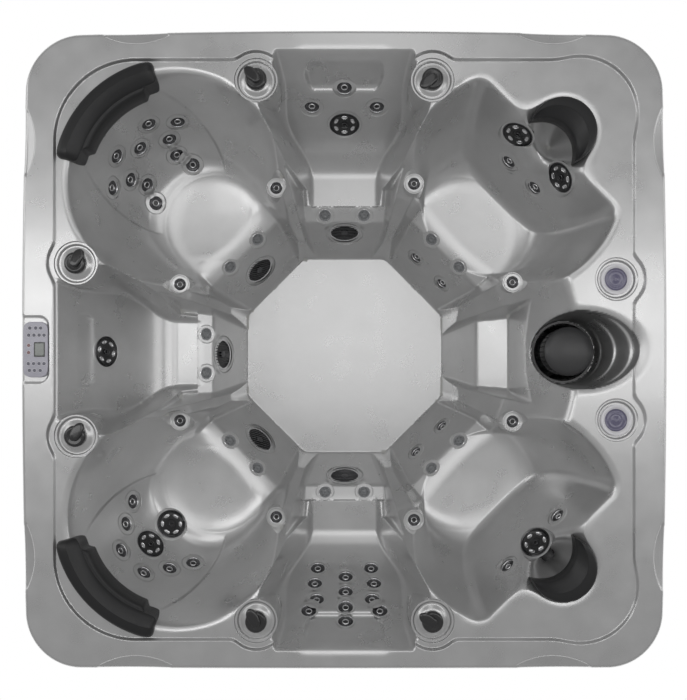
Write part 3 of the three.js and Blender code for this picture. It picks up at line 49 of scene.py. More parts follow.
# All shapes below are worked out in millimetres and put into the meshes in metres
tub = dict(halfX=1150, halfY=1137, height=930, corner=195, wall=14, edge=14, skirt=70)
sideBow = dict(side=20, front=4)
levels = dict(deck=12, ledge=300, pan=478, shelf=305, floor=790)
deckStep = dict(half=1032, corner=290, width=5, seatHalf=190, seatReach=1056, island=100, knobIsland=87,
                cornerAt=840, cornerRound=205)
cornerSeat = dict(reach=849, radius=390, front=607, frontHalf=204, sideHalf=275, wallCurve=0.9, panBlend=70)
roundSeat = dict(panReach=740, panRadius=204, panBowl=12, dishReach=1018, dishRadius=236, dishDrop=12)
shelfSeat = dict(panReach=663, panRadius=250, panBowl=12, backReach=1042, backSlope=3.4, noseFillet=110,
                 noseSlope=4.5)
neckHollow = dict(reach=1105, radius=121, wallSlope=2.4, floorSlope=1.35, floorReach=1010, floorDepth=190,
                  ease=30, wallBlend=140, backBlend=110)
middleSeat = dict(front=570, frontHalf=176, half=186, panTilt=0.02, backTop=125, backSlope=1.75,
                  mouthHalf=190, mouthCorner=64,
                  backBlend=150, wallBlend=90)
seatWaist = dict(swell=52, swellBack=118, swellSpan=88, wallSlope=4.2)
seatFront = dict(bevel=60, bevelSlope=0.45, inset=30, sideBlend=90)
eastLedge = dict(front=572, half=150, run=6, slope=2.6, backBlend=90, wallBlend=110)
filterWell = dict(reach=849, halfLength=206, halfWidth=143, floorReach=849, floorHalfLength=124,
                  floorHalfWidth=122, terraces=3, swing=0.92,
                  mouth=115)
footwell = dict(apothem=430, wallSlope=6, ledgeFall=655, bowl=800)
blends = dict(seatMouth=60, island=50, stepCorner=16, mouth=36, well=8, octagon=16, wall=16, floor=20)
bowlWall = dict(reach=150, curve=0.45, fallSlope=1.6, fallBlend=30)
rimScoop = dict(length=160, reach=52, drop=13, step=3.5, side=742, top=740, bottom=738)
panelBay = dict(x=-1128, halfX=76, halfY=118, corner=34, drop=4)
knobPlaces = dict(top_left=(-314, 962), top_right=(314, 962), left_upper=(-957, 308), left_lower=(-957, -308),
                  bottom_left=(-314, -968), bottom_right=(314, -968))
cupPlaces = [(972, 252), (972, -252)]

seats = dict(
    northWest=dict(angle=135, kind="round"), southWest=dict(angle=225, kind="round"),
    northEast=dict(angle=45, kind="shelf"), southEast=dict(angle=315, kind="shelf"),
    north=dict(angle=90, kind="middle", back=996, end=1056),
    south=dict(angle=270, kind="middle", back=1000, end=1062),
    west=dict(angle=180, kind="middle", back=962, end=1012), east=dict(angle=0, kind="ledge"))
for seat in seats.values():
    seat["cos"] = math.cos(math.radians(seat["angle"]))
    seat["sin"] = math.sin(math.radians(seat["angle"]))


def seatAxes(seat, x, y):  # a plan point as distances outward along a seat and across it
    return x * seat["cos"] + y * seat["sin"], y * seat["cos"] - x * seat["sin"]


def planPlace(seat, along, across):  # back from a seat's own axes to x and y
    return along * seat["cos"] - across * seat["sin"], along * seat["sin"] + across * seat["cos"]


# the lesser of two, taken off by (width - gap)^2 / 4 width where they come close
def roundedMin(a, b, width):
    near = np.maximum(width - np.abs(a - b), 0) / width
    return np.minimum(a, b) - near * near * width / 4


def roundedMax(a, b, width):  # the greater of two, joined by the same round
    return -roundedMin(-a, -b, width)


def ease(start, end, value):  # 0 to 1 by 3t^2 - 2t^3 between start and end
    t = np.clip((value - start) / (end - start), 0, 1)
    return t * t * (3 - 2 * t)


def discEdge(x, y, centreX, centreY, radius):  # signed distance from a circle, negative inside
    return np.hypot(x - centreX, y - centreY) - radius


def slabEdge(x, y, centreX, centreY, halfX, halfY, radius):  # signed distance from a rounded rectangle
    beyondX = np.abs(x - centreX) - (halfX - radius)
    beyondY = np.abs(y - centreY) - (halfY - radius)
    outside = np.hypot(np.maximum(beyondX, 0), np.maximum(beyondY, 0))
    return outside + np.minimum(np.maximum(beyondX, beyondY), 0) - radius


# how far outside an oval a point is: its share of the oval less one, times the smaller half
def ovalEdge(x, y, centreX, centreY, halfX, halfY):
    return (np.hypot((x - centreX) / halfX, (y - centreY) / halfY) - 1) * min(halfX, halfY)


# a corner seat's own outline; a shelf seat's runs out round its neck in one curve
def cornerMouth(seat, along, across):
    outline = discEdge(along, across, cornerSeat["reach"], 0, cornerSeat["radius"])
    if seat["kind"] == "shelf":
        outline = roundedMax(outline, along - shelfSeat["backReach"], 40)
        neck = discEdge(along, across, neckHollow["reach"], 0, neckHollow["radius"])
        outline = roundedMin(outline, neck, shelfSeat["noseFillet"])
    return outline


# the deck's edge: a middle circle joined to every seat's outline, less an island round each knob
def bowlMouth(x, y):
    edge = discEdge(x, y, 0, 0, footwell["bowl"])
    for seat in seats.values():
        along, across = seatAxes(seat, x, y)
        if seat["kind"] in ("round", "shelf"):
            edge = roundedMin(edge, cornerMouth(seat, along, across), blends["seatMouth"])
        if seat["kind"] == "middle":
            own = slabEdge(along, across, seat["end"] / 2, 0, seat["end"] / 2, middleSeat["mouthHalf"],
                           middleSeat["mouthCorner"])
            edge = roundedMin(edge, own, blends["seatMouth"])
    well = ovalEdge(x, y, filterWell["reach"], 0, filterWell["halfLength"], filterWell["halfWidth"])
    edge = roundedMin(edge, well, blends["seatMouth"])
    for place in [*knobPlaces.values(), *cupPlaces]:
        edge = roundedMax(edge, -discEdge(x, y, *place, deckStep["knobIsland"]), blends["island"])
    return edge


def deckEdge(x, y):  # inside this line the deck is one step lower than the rim
    step = deckStep
    edge = slabEdge(x, y, 0, 0, step["half"], step["half"], step["corner"])
    edge = roundedMin(edge, slabEdge(x, y, 0, 0, step["seatHalf"], step["seatReach"], 40),
                      blends["stepCorner"])
    for place in [*knobPlaces.values(), *cupPlaces]:
        edge = roundedMin(edge, discEdge(x, y, *place, step["island"]), blends["stepCorner"])
    for side in (1, -1):
        corner = discEdge(x, y, step["cornerAt"], side * step["cornerAt"], step["cornerRound"])
        edge = roundedMin(edge, corner, blends["stepCorner"])
    return edge


# full depth inside the inner line, none at the outer one, and less beyond it
def loft(inner, outer, depth, curve, soft=1):
    a, b = roundedMax(inner, 0, soft), np.maximum(-outer, 0)
    t = a / np.maximum(a + b, 1e-6)
    return depth * (1 - (t + curve * (t * t - t))) - np.maximum(outer, 0)


# bevel, then riser, from a seat's front down to the floor
def frontDepth(along, across, front, frontHalf, depth):
    bevelStart = front + seatFront["inset"]
    riserStart = bevelStart - seatFront["bevel"]
    riserTop = depth + seatFront["bevel"] * seatFront["bevelSlope"]
    riserSlope = (levels["floor"] - riserTop) / (riserStart - footwell["apothem"])
    fall = np.maximum(along - bevelStart - seatFront["bevel"], 0) * footwell["wallSlope"]
    slope = roundedMax(depth + (bevelStart - along) * seatFront["bevelSlope"] - fall,
                       riserTop + (riserStart - along) * riserSlope, 16)
    return roundedMin(slope, depth + (frontHalf - np.abs(across)) * footwell["wallSlope"],
                      seatFront["sideBlend"])


# pan lofted to the seat's circle, with a shallow dish or a shelf behind
def cornerDepth(seat, along, across):
    sides = slabEdge(along, across, cornerSeat["reach"] / 2, 0, cornerSeat["reach"] / 2,
                     cornerSeat["sideHalf"], 60)
    edge = roundedMin(discEdge(along, across, cornerSeat["reach"], 0, cornerSeat["radius"]), sides, 60)
    form = roundSeat if seat["kind"] == "round" else shelfSeat
    strip = slabEdge(along, across, form["panReach"] / 2, 0, form["panReach"] / 2, cornerSeat["frontHalf"],
                     60)
    pan = roundedMin(discEdge(along, across, form["panReach"], 0, form["panRadius"]), strip, 40)
    bowl = form["panBowl"] * (1 - np.clip(1 + pan / form["panRadius"], 0, 1) ** 2)
    depth = loft(pan, edge, levels["pan"] + bowl, cornerSeat["wallCurve"], cornerSeat["panBlend"])
    if seat["kind"] == "round":
        dish = discEdge(along, across, form["dishReach"], 0, form["dishRadius"])
        fade = ease(10, 70, pan) * ease(form["panReach"], form["panReach"] + 90, along)
        return depth + form["dishDrop"] * ease(4, -6, dish) * fade
    depth = roundedMin(depth, levels["deck"] + (form["backReach"] - along) * form["backSlope"], 100)
    depth = roundedMin(depth, levels["deck"] - cornerMouth(seat, along, across) * form["noseSlope"], 60)
    reach = np.hypot(np.hypot(np.maximum(along - neckHollow["reach"], 0), across), neckHollow["ease"])
    wall = (neckHollow["radius"] - reach) * neckHollow["wallSlope"]
    bottom = neckHollow["floorDepth"] + (neckHollow["floorReach"] - along) * neckHollow["floorSlope"]
    hollow = roundedMax(depth, roundedMin(wall, bottom, neckHollow["wallBlend"]), neckHollow["backBlend"])
    return np.where(along > form["panReach"] + form["panRadius"], hollow, depth)


def waist(seat, along):  # a middle seat's half width swells at shoulder height
    offset = (along - (seat["back"] - seatWaist["swellBack"])) / seatWaist["swellSpan"]
    return middleSeat["half"] + seatWaist["swell"] * np.exp(-offset * offset)


def seatDepth(seat, x, y, depth):  # the depth given, joined to a seat's hollow and to its front
    along, across = seatAxes(seat, x, y)
    pan = levels["pan"]
    if seat["kind"] in ("round", "shelf"):
        front = frontDepth(along, across, cornerSeat["front"], cornerSeat["frontHalf"], pan)
        joined = roundedMax(roundedMax(depth, cornerDepth(seat, along, across), 34), front, 24)
    elif seat["kind"] == "ledge":
        back = pan - (along - eastLedge["front"] - eastLedge["run"]) * eastLedge["slope"]
        wall = levels["ledge"] + (middleSeat["half"] - np.abs(across)) * seatWaist["wallSlope"]
        hollow = roundedMin(roundedMin(back, pan, eastLedge["backBlend"]), wall, eastLedge["wallBlend"])
        front = frontDepth(along, across, eastLedge["front"], eastLedge["half"], pan)
        joined = roundedMax(roundedMax(depth, hollow, 10), front, 16)
    else:
        back = middleSeat["backTop"] + (seat["back"] - along) * middleSeat["backSlope"]
        wall = levels["ledge"] + (waist(seat, along) - np.abs(across)) * seatWaist["wallSlope"]
        sloping = pan + (np.clip(along, middleSeat["front"], seat["back"]) - 700) * middleSeat["panTilt"]
        hollow = roundedMin(roundedMin(back, sloping, middleSeat["backBlend"]), wall, middleSeat["wallBlend"])
        front = frontDepth(along, across, middleSeat["front"], middleSeat["frontHalf"], pan)
        joined = roundedMax(roundedMax(depth, hollow, 8), front, 16)
        inside = roundedMax(np.abs(across) - waist(seat, along), along - seat["back"] - 20, 60)
        behind = joined + (hollow - joined) * ease(-20, -50, inside)
        joined = np.where(along > middleSeat["front"] + seatFront["inset"], behind, joined)
    return np.where(along > 0, joined, depth)


def wellDepth(x, y):  # an oval that steps down to its shelf, in three terraces on its far side
    w = filterWell
    a = np.maximum(ovalEdge(x, y, w["floorReach"], 0, w["floorHalfLength"], w["floorHalfWidth"]), 0)
    outer = ovalEdge(x, y, w["reach"], 0, w["halfLength"], w["halfWidth"])
    t = a / np.maximum(a + np.maximum(-outer, 0), 1e-6)
    turns = 2 * math.pi * w["terraces"]
    outward = (x - w["floorReach"]) / np.maximum(np.hypot(x - w["floorReach"], y), 1)
    swing = w["swing"] * ease(0.1, 0.8, outward)
    return levels["shelf"] * (1 - t - swing * np.sin(turns * t) / turns) - np.maximum(outer, 0)


def scoopDepth(x, y):  # lens-shaped scoops in the rim's outer edge, two beside each corner
    depth = 0 * x
    for side in (-1, 1):
        for offset, outer in ((x - side * rimScoop["side"], tub["halfY"] - y),
                              (x - side * rimScoop["side"], tub["halfY"] + y),
                              (y - side * rimScoop["top"], tub["halfX"] - x),
                              (y - side * rimScoop["bottom"], tub["halfX"] + x)):
            reach = rimScoop["reach"] * (1 - (offset / rimScoop["length"]) ** 2)
            past = reach - outer
            fall = np.clip(past / rimScoop["reach"], 0, 1) * rimScoop["drop"]
            depth = np.maximum(depth, fall + rimScoop["step"] * ease(0, 6, past))
    return depth


def bareDepth(x, y):  # depth of the formed surface below the rim's top
    depth = levels["deck"] * ease(deckStep["width"], -deckStep["width"], deckEdge(x, y))
    depth = np.maximum(depth, scoopDepth(x, y))
    bay = slabEdge(x, y, panelBay["x"], 0, panelBay["halfX"], panelBay["halfY"], panelBay["corner"])
    depth = np.maximum(depth, panelBay["drop"] * ease(4, -4, bay))
    mouth = bowlMouth(x, y)
    bowl = loft(mouth + bowlWall["reach"], mouth, levels["ledge"], bowlWall["curve"])
    depth = roundedMax(depth, bowl, blends["mouth"])
    fall = levels["ledge"] + (footwell["ledgeFall"] - np.hypot(x, y)) * bowlWall["fallSlope"]
    depth = roundedMax(depth, fall, bowlWall["fallBlend"])
    for seat in seats.values():
        depth = seatDepth(seat, x, y, depth)
    depth = roundedMax(depth, wellDepth(x, y), blends["well"])
    square = np.maximum(np.abs(x), np.abs(y))
    octagon = roundedMax(square, (np.abs(x) + np.abs(y)) * math.sqrt(0.5), blends["octagon"])
    wall = levels["floor"] - (octagon - footwell["apothem"]) * footwell["wallSlope"]
    return roundedMin(roundedMax(depth, wall, blends["wall"]), levels["floor"], blends["floor"])


# the depth's rise per millimetre along x and y, and 1, made unit length
def surfaceNormals(depthOf, x, y, span):
    slopeX = (depthOf(x + span, y) - depthOf(x - span, y)) / (2 * span)
    slopeY = (depthOf(x, y + span) - depthOf(x, y - span)) / (2 * span)
    normals = np.stack([slopeX, slopeY, np.ones_like(slopeX)], axis=1)
    return normals / np.linalg.norm(normals, axis=1)[:, None]


def turnsTo(normals):  # for each unit normal, the shortest turn that takes +Z to it
    nx, ny, nz = normals.T
    k = 1 / (1 + nz)
    rows = [1 - k * nx * nx, -k * nx * ny, nx, -k * nx * ny, 1 - k * ny * ny, ny, -nx, -ny, nz]
    return np.stack(rows, axis=1).reshape(-1, 3, 3)


def seatOn(places, radius, upright=False):  # origins on the bare surface and turns square to it
    x, y = np.array(places, float).T
    normals = surfaceNormals(bareDepth, x, y, radius)
    if upright:
        normals = 0 * normals + [0, 0, 1]
    return np.stack([x, y, tub["height"] - bareDepth(x, y)], axis=1), turnsTo(normals)


def levelsOf(node):  # the lowest and highest points of a CAD node
    low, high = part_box(node)
    return low.z * 1000, high.z * 1000


def sharePlaces(seat, middle, unit, shares):  # shares of a unit outward and to the left, from a middle point
    out, left = middle + unit * np.array(shares)[:, 0], unit * np.array(shares)[:, 1]
    return np.stack(planPlace(seats[seat], out, left), axis=1)


# Small jets of each seat, as shares of the corner circle's radius or of 230 mm
jetShares = dict(
    northwest=("northWest", 849, 390, [
        (0.6, -0.44), (0.75, -0.22), (0.59, -0.27), (0.7, 0), (0.48, -0.22), (0.33, -0.27),
        (0.32, 0.28), (0.48, 0.21), (0.58, 0.29), (0.59, 0.47), (0.75, 0.22)]),
    southwest=("southWest", 849, 390, [
        (0.42, -0.45), (0.59, -0.33), (0.75, -0.17), (0.75, 0.14), (0.6, 0.29), (0.43, 0.42)]),
    northeast=("northEast", 849, 390, [(0.3, 0.18), (0.3, -0.18)]),
    southeast=("southEast", 849, 390, [(0.38, 0.33), (0.38, -0.35)]),
    north=("north", 900, 230, [(0.14, 0.54), (0.36, 0), (0.14, -0.54)]),
    south=("south", 900, 230, [
        (-0.2, 0.46), (-0.01, 0.5), (0.18, 0.46), (0.31, 0.58), (0.45, 0.02), (0.27, 0.02),
        (0.09, 0.02), (-0.09, 0.02), (-0.2, -0.46), (-0.01, -0.5), (0.18, -0.46), (0.31, -0.58)]))
seatJets = {name: sharePlaces(*spec) for name, spec in jetShares.items()}
ringAngles = np.radians(22.5 + 45 * np.arange(8))
fittings = dict(ledgeReach=700, injectorReach=dict(round=584, shelf=584, middle=566), injectorHalf=80,
                wallReach=507, footHalf=78)
ledgeJets = fittings["ledgeReach"] * np.stack([np.cos(ringAngles), np.sin(ringAngles)], axis=1)
lineOrder = ["northEast", "north", "northWest", "west", "southWest", "south", "southEast"]
injectors = np.concatenate([sharePlaces(name, fittings["injectorReach"][seats[name]["kind"]],
                                        fittings["injectorHalf"], [(0, -1), (0, 1)]) for name in lineOrder])
suctions = np.concatenate([sharePlaces(name, fittings["wallReach"], 1, [(0, 0)]) for name in lineOrder[1:-1]])
footJets = np.concatenate([sharePlaces(name, fittings["wallReach"], fittings["footHalf"], [(0, -1), (0, 1)])
                           for name in (lineOrder[0], lineOrder[-1])])
rotorJoints = {joint["child"]: joint for joint in frame["joints"] if "_rotor_" in joint["child"]}
rotorPlaces = {name: np.array(joint["pos_m"]) * 1000 for name, joint in rotorJoints.items()}

# Each pad is a round plane pressed into the shell in steps of (radius, sink, edge width), widest first
pads = []


def addPads(origins, turns, *steps, boss=(), hole=0):
    for origin, turn in zip(origins, turns):
        pads.append(dict(origin=origin, normal=turn[:, 2], steps=steps, boss=boss, hole=hole,
                         reach=steps[0][0]))


jetSeats = {name: seatOn(places, 31) for name, places in seatJets.items()}
for name, (origins, turns) in jetSeats.items():
    addPads(origins, turns, (36, 1, 1.2) if name == "south" else (44, 2, 1.4), hole=29)
ledgeSeats = seatOn(ledgeJets, 25, upright=True)
addPads(*ledgeSeats, (41, 2, 2), (34, 4, 1.5), hole=24)
injectorSeats = seatOn(injectors, 26)
addPads(*injectorSeats, (37, 2, 1.6), hole=22)
suctionSeats = seatOn(suctions, 50)
addPads(*suctionSeats, (77, 7, 2), hole=60)
footSeats = seatOn(footJets, 26)
addPads(*footSeats, (40, 5, 2), hole=24)
rotorSeats = {}
for name, joint in rotorJoints.items():
    normal = np.array([joint["axis"]], float)
    rotorSeats[name] = (rotorPlaces[name][None], turnsTo(normal / np.linalg.norm(normal)))
    addPads(*rotorSeats[name], (67, -1, 1.4), (58, 2, 1.2), hole=55)
knobSeats = seatOn(list(knobPlaces.values()), 44, upright=True)
cupSeats = seatOn(cupPlaces, 44, upright=True)
knobFoot = levelsOf("valve_knob_top_left")[0]
knobSink = knobSeats[0][0, 2] - knobFoot + 5.9
addPads(*knobSeats, (78, 0.45 * knobSink, 2), (67, knobSink + 5, 3),
        boss=((54, 0), (48, 6), (39, 9), (36, 9)))
cupSink = cupSeats[0][0, 2] - (levelsOf("light_cups")[1] - 8)
addPads(*cupSeats, (76, 0.4 * cupSink, 2), (66, cupSink + 6, 3), hole=50)


# for each pad step near these points: which ones, their distance in its plane and the plane's depth
def padShares(x, y):
    for pad in pads:
        origin, normal, wide = pad["origin"], pad["normal"], pad["reach"] + 20
        near = np.flatnonzero((np.abs(x - origin[0]) < wide) & (np.abs(y - origin[1]) < wide))
        if len(near):
            dx, dy = x[near] - origin[0], y[near] - origin[1]
            fall = (dx * normal[0] + dy * normal[1]) / normal[2]
            reach = np.sqrt(dx * dx + dy * dy + fall * fall)
            for radius, sink, soft in pad["steps"]:
                plane = tub["height"] - origin[2] + fall + sink / normal[2]
                yield near, reach, plane, radius, soft, pad["reach"], skin["padPress"] / normal[2]


def shellDepth(x, y):  # the bare form with each pad's plane pressed into it inside the pad's circle
    depth = bareDepth(x, y)
    for near, reach, plane, radius, soft, widest, press in padShares(x, y):
        depth[near] += (plane - depth[near]) * ease(radius + soft, radius - soft, reach)
    return depth


def gridDepth(x, y):  # the same, pressed further down under the finer patch that covers each pad
    depth = shellDepth(x, y)
    for near, reach, plane, radius, soft, widest, press in padShares(x, y):
        if radius == widest:
            low = np.maximum(depth[near], np.where(reach < radius + 2, plane, 0)) + press
            depth[near] += (low - depth[near]) * ease(radius + 7, radius + 2, reach)
    return depth


# a point of the unit square's border, on a rounded rectangle whose sides bow inward
def outlineAt(s, t, inset):
    halfX, halfY, radius = tub["halfX"] - inset, tub["halfY"] - inset, tub["corner"] - inset
    x, y = s * halfX, t * halfY
    dx, dy = np.abs(x) - (halfX - radius), np.abs(y) - (halfY - radius)
    reach = np.maximum(np.hypot(dx, dy), 1e-6)
    inCorner = (dx > 0) & (dy > 0)
    x = np.where(inCorner, np.sign(x) * (halfX - radius + dx * radius / reach), x)
    y = np.where(inCorner, np.sign(y) * (halfY - radius + dy * radius / reach), y)
    bowY = np.where(y < 0, sideBow["front"], sideBow["side"])
    return x * (1 - sideBow["side"] / halfX * (y / halfY) ** 2), y * (1 - bowY / halfY * (x / halfX) ** 2)


def addMesh(name, points, faces, material, nodes, slotName, body="tub", smooth=40, normals=None):
    mesh = bpy.data.meshes.new(name)
    points = np.asarray(points, float).reshape(-1, 3) / 1000
    parts = [np.asarray(part) for part in faces]
    corners = np.concatenate([part.ravel() for part in parts])
    sizes = np.concatenate([np.full(len(part), part.shape[1]) for part in parts])
    mesh.vertices.add(len(points))
    mesh.vertices.foreach_set("co", points.ravel())
    mesh.loops.add(len(corners))
    mesh.loops.foreach_set("vertex_index", corners)
    mesh.polygons.add(len(sizes))
    mesh.polygons.foreach_set("loop_start", np.cumsum(sizes) - sizes)
    mesh.update(calc_edges=True)
    mesh.validate()
    mesh.shade_smooth()
    if normals is not None:
        mesh.normals_split_custom_set_from_vertices(normals.reshape(-1, 3).tolist())
    elif smooth < 180:
        mesh.set_sharp_from_angle(angle=math.radians(smooth))
    mesh.materials.append(material)
    piece = bpy.data.objects.new(name, mesh)
    bpy.context.scene.collection.objects.link(piece)
    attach(piece, body)
    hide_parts(*([nodes] if isinstance(nodes, str) else nodes))
    return piece


# four corners of every cell, counter-clockwise
def gridFaces(rows, columns, roundColumns=False, roundRows=False):
    i = np.arange(rows if roundRows else rows - 1)[:, None]
    j = np.arange(columns if roundColumns else columns - 1)[None, :]
    nextI, nextJ = (i + 1) % rows, (j + 1) % columns
    row, nextRow = i * columns, nextI * columns
    cells = np.broadcast_arrays(row + j, row + nextJ, nextRow + nextJ, nextRow + j)
    return np.stack(cells, axis=-1).reshape(-1, 4)


# rows of count points round a tube, closed at each end by one of the two points after them
def tubeFaces(rows, count):
    j, low = np.arange(count), rows * count
    first = np.stack([np.full(count, low), (j + 1) % count, j], axis=1)
    last = np.stack([np.full(count, low + 1), low - count + j, low - count + (j + 1) % count], axis=1)
    return [gridFaces(rows, count, roundColumns=True), first, last]


def spinBy(angle):  # a turn about +Z
    return np.array([[math.cos(angle), -math.sin(angle), 0], [math.sin(angle), math.cos(angle), 0],
                     [0, 0, 1]])


def place(local, origins, turns):  # copies of local points, each turned and then moved to its origin
    return np.einsum("nij,kj->nki", np.asarray(turns, float), local) + np.asarray(origins, float)[:, None, :]


def turned(profile, around, origins, turns, loop=False):
    # a profile of (radius, height) turned about its axis, (r cos a, r sin a, h), with a point at each pole
    profile = np.array(profile, float)
    r, h = profile.T
    if np.sum(r * np.roll(h, -1) - np.roll(r, -1) * h) < 0:
        profile = profile[::-1]
    low = 0 if loop or profile[0, 0] > 0 else 1
    high = 0 if loop or profile[-1, 0] > 0 else 1
    rings = profile[low:len(profile) - high]
    a = 2 * math.pi * np.arange(around) / around
    ring = np.stack([rings[:, :1] * np.cos(a), rings[:, :1] * np.sin(a), rings[:, 1:] + 0 * a],
                    axis=-1).reshape(-1, 3)
    poles = [[0, 0, height] for height in [*profile[:low, 1], *profile[len(profile) - high:, 1]]]
    local = np.concatenate([ring, np.array(poles).reshape(-1, 3)])
    count = len(local)
    shift = count * np.arange(len(origins))[:, None, None]
    faces = [(gridFaces(len(rings), around, roundColumns=True, roundRows=loop)[None] + shift).reshape(-1, 4)]
    j = np.arange(around)
    if low:
        fan = np.stack([np.full(around, len(ring)), (j + 1) % around, j], axis=1)
        faces.append((fan[None] + shift).reshape(-1, 3))
    if high:
        last = (len(rings) - 1) * around
        fan = np.stack([np.full(around, count - 1), last + j, last + (j + 1) % around], axis=1)
        faces.append((fan[None] + shift).reshape(-1, 3))
    return place(local, origins, turns).reshape(-1, 3), faces


def joined(*shapes):  # several (points, faces) as one
    points, faces, start = [], [], 0
    for some, parts in shapes:
        points.append(some)
        faces += [part + start for part in parts]
        start += len(some)
    return np.concatenate(points), faces


def swept(path, section):
    # a closed section carried along a path: p + x side + y up, side square to it and up square to both
    path = np.asarray(path, float)
    ahead = np.roll(path, -1, axis=0) - np.roll(path, 1, axis=0)
    ahead[0], ahead[-1] = path[1] - path[0], path[-1] - path[-2]
    ahead /= np.linalg.norm(ahead, axis=1)[:, None]
    steep = np.abs(ahead[:, 2:]) > 0.9
    side = np.cross(ahead, np.where(steep, [[1.0, 0, 0]], [[0, 0, 1.0]]))
    side /= np.linalg.norm(side, axis=1)[:, None]
    up = np.cross(side, ahead)
    section = np.asarray(section, float)
    points = path[:, None] + section[None, :, :1] * side[:, None] + section[None, :, 1:] * up[:, None]
    return np.concatenate([points.reshape(-1, 3), path[:1], path[-1:]]), tubeFaces(len(path), len(section))


def circle(radius, around):  # (r cos a, r sin a) at even steps
    a = 2 * math.pi * np.arange(around) / around
    return np.stack([radius * np.cos(a), radius * np.sin(a)], axis=1)


def rounded(points, steps):  # a path whose corners are cut off twice over, a quarter of each run at a time
    points = np.asarray(points, float)
    for step in range(steps):
        a, b = points[:-1], points[1:]
        cut = np.stack([a * 0.75 + b * 0.25, a * 0.25 + b * 0.75], axis=1).reshape(-1, 3)
        points = np.concatenate([points[:1], cut, points[-1:]])
    return points


# Shader node groups, each used by several materials
def newGroup(name, ins, outs):
    group = bpy.data.node_groups.new(name, "ShaderNodeTree")
    for label, kind, value in ins:
        socket = group.interface.new_socket(label, in_out="INPUT", socket_type=kind)
        socket.default_value = value
    for label, kind in outs:
        group.interface.new_socket(label, in_out="OUTPUT", socket_type=kind)
    return group, group.nodes.new("NodeGroupInput"), group.nodes.new("NodeGroupOutput")


def noiseNode(group, coordinate, scale, detail, rough=0.5):
    node = group.nodes.new("ShaderNodeTexNoise")
    node.inputs["Scale"].default_value = scale
    node.inputs["Detail"].default_value = detail
    node.inputs["Roughness"].default_value = rough
    group.links.new(coordinate, node.inputs["Vector"])
    return node


def rangeNode(group, value, low, high, toLow, toHigh):
    node = group.nodes.new("ShaderNodeMapRange")
    for label, number in zip(("From Min", "From Max", "To Min", "To Max"), (low, high, toLow, toHigh)):
        node.inputs[label].default_value = number
    group.links.new(value, node.inputs["Value"])
    return node.outputs["Result"]


def mixNode(group, kind, share, a, b):
    node = group.nodes.new("ShaderNodeMix")
    node.data_type = "RGBA"
    node.blend_type = kind
    for socket, given in ((node.inputs["Factor"], share), (node.inputs["A"], a), (node.inputs["B"], b)):
        if hasattr(given, "is_output"):
            group.links.new(given, socket)
        else:
            socket.default_value = given
    return node.outputs["Result"]


# soft clouds and fine flakes of brightness over a colour, and a roughness that follows the clouds
def makePearl():
    group, given, made = newGroup("pearl", [("Color", "NodeSocketColor", (0.5, 0.5, 0.5, 1)),
                                            ("Clouds", "NodeSocketFloat", 0.06),
                                            ("Flakes", "NodeSocketFloat", 0.05)],
                                  [("Color", "NodeSocketColor"), ("Roughness", "NodeSocketFloat")])
    where = group.nodes.new("ShaderNodeTexCoord").outputs["Object"]
    clouds = noiseNode(group, where, 9, 4).outputs["Fac"]
    flakes = noiseNode(group, where, 900, 2, 0.7).outputs["Fac"]
    for value, label, spread in ((clouds, "Clouds", 0.28), (flakes, "Flakes", 0.22)):
        centred = rangeNode(group, value, 0.5 - spread, 0.5 + spread, -1, 1)
        scaled = group.nodes.new("ShaderNodeMath")
        scaled.operation = "MULTIPLY_ADD"
        group.links.new(centred, scaled.inputs[0])
        group.links.new(given.outputs[label], scaled.inputs[1])
        scaled.inputs[2].default_value = 1
        grey = group.nodes.new("ShaderNodeCombineColor")
        for channel in ("Red", "Green", "Blue"):
            group.links.new(scaled.outputs[0], grey.inputs[channel])
        base = given.outputs["Color"] if label == "Clouds" else tone
        tone = mixNode(group, "MULTIPLY", 1.0, base, grey.outputs["Color"])
    group.links.new(tone, made.inputs["Color"])
    group.links.new(rangeNode(group, clouds, 0.25, 0.75, 0.25, 0.34), made.inputs["Roughness"])
    return group


def makeGrain():  # moulded grain: a bump height of two noises, and a roughness and tone that follow them
    group, given, made = newGroup("grain", [("Color", "NodeSocketColor", (0.1, 0.1, 0.1, 1)),
                                            ("Scale", "NodeSocketFloat", 400),
                                            ("Depth", "NodeSocketFloat", 0.15),
                                            ("Smooth", "NodeSocketFloat", 0.35),
                                            ("Rough", "NodeSocketFloat", 0.5)],
                                  [("Color", "NodeSocketColor"), ("Roughness", "NodeSocketFloat"),
                                   ("Normal", "NodeSocketVector")])
    where = group.nodes.new("ShaderNodeTexCoord").outputs["Object"]
    fine = noiseNode(group, where, 400, 5, 0.6)
    group.links.new(given.outputs["Scale"], fine.inputs["Scale"])
    wide = noiseNode(group, where, 14, 3)
    tone = mixNode(group, "MULTIPLY", 1.0, given.outputs["Color"],
                   mixNode(group, "MIX", wide.outputs["Fac"], (0.86, 0.86, 0.86, 1), (1.12, 1.12, 1.12, 1)))
    group.links.new(tone, made.inputs["Color"])
    spread = group.nodes.new("ShaderNodeMapRange")
    group.links.new(fine.outputs["Fac"], spread.inputs["Value"])
    spread.inputs["From Min"].default_value, spread.inputs["From Max"].default_value = 0.3, 0.7
    group.links.new(given.outputs["Smooth"], spread.inputs["To Min"])
    group.links.new(given.outputs["Rough"], spread.inputs["To Max"])
    group.links.new(spread.outputs["Result"], made.inputs["Roughness"])
    bump = group.nodes.new("ShaderNodeBump")
    bump.inputs["Distance"].default_value = 0.0006
    group.links.new(given.outputs["Depth"], bump.inputs["Strength"])
    group.links.new(fine.outputs["Fac"], bump.inputs["Height"])
    group.links.new(bump.outputs["Normal"], made.inputs["Normal"])
    return group


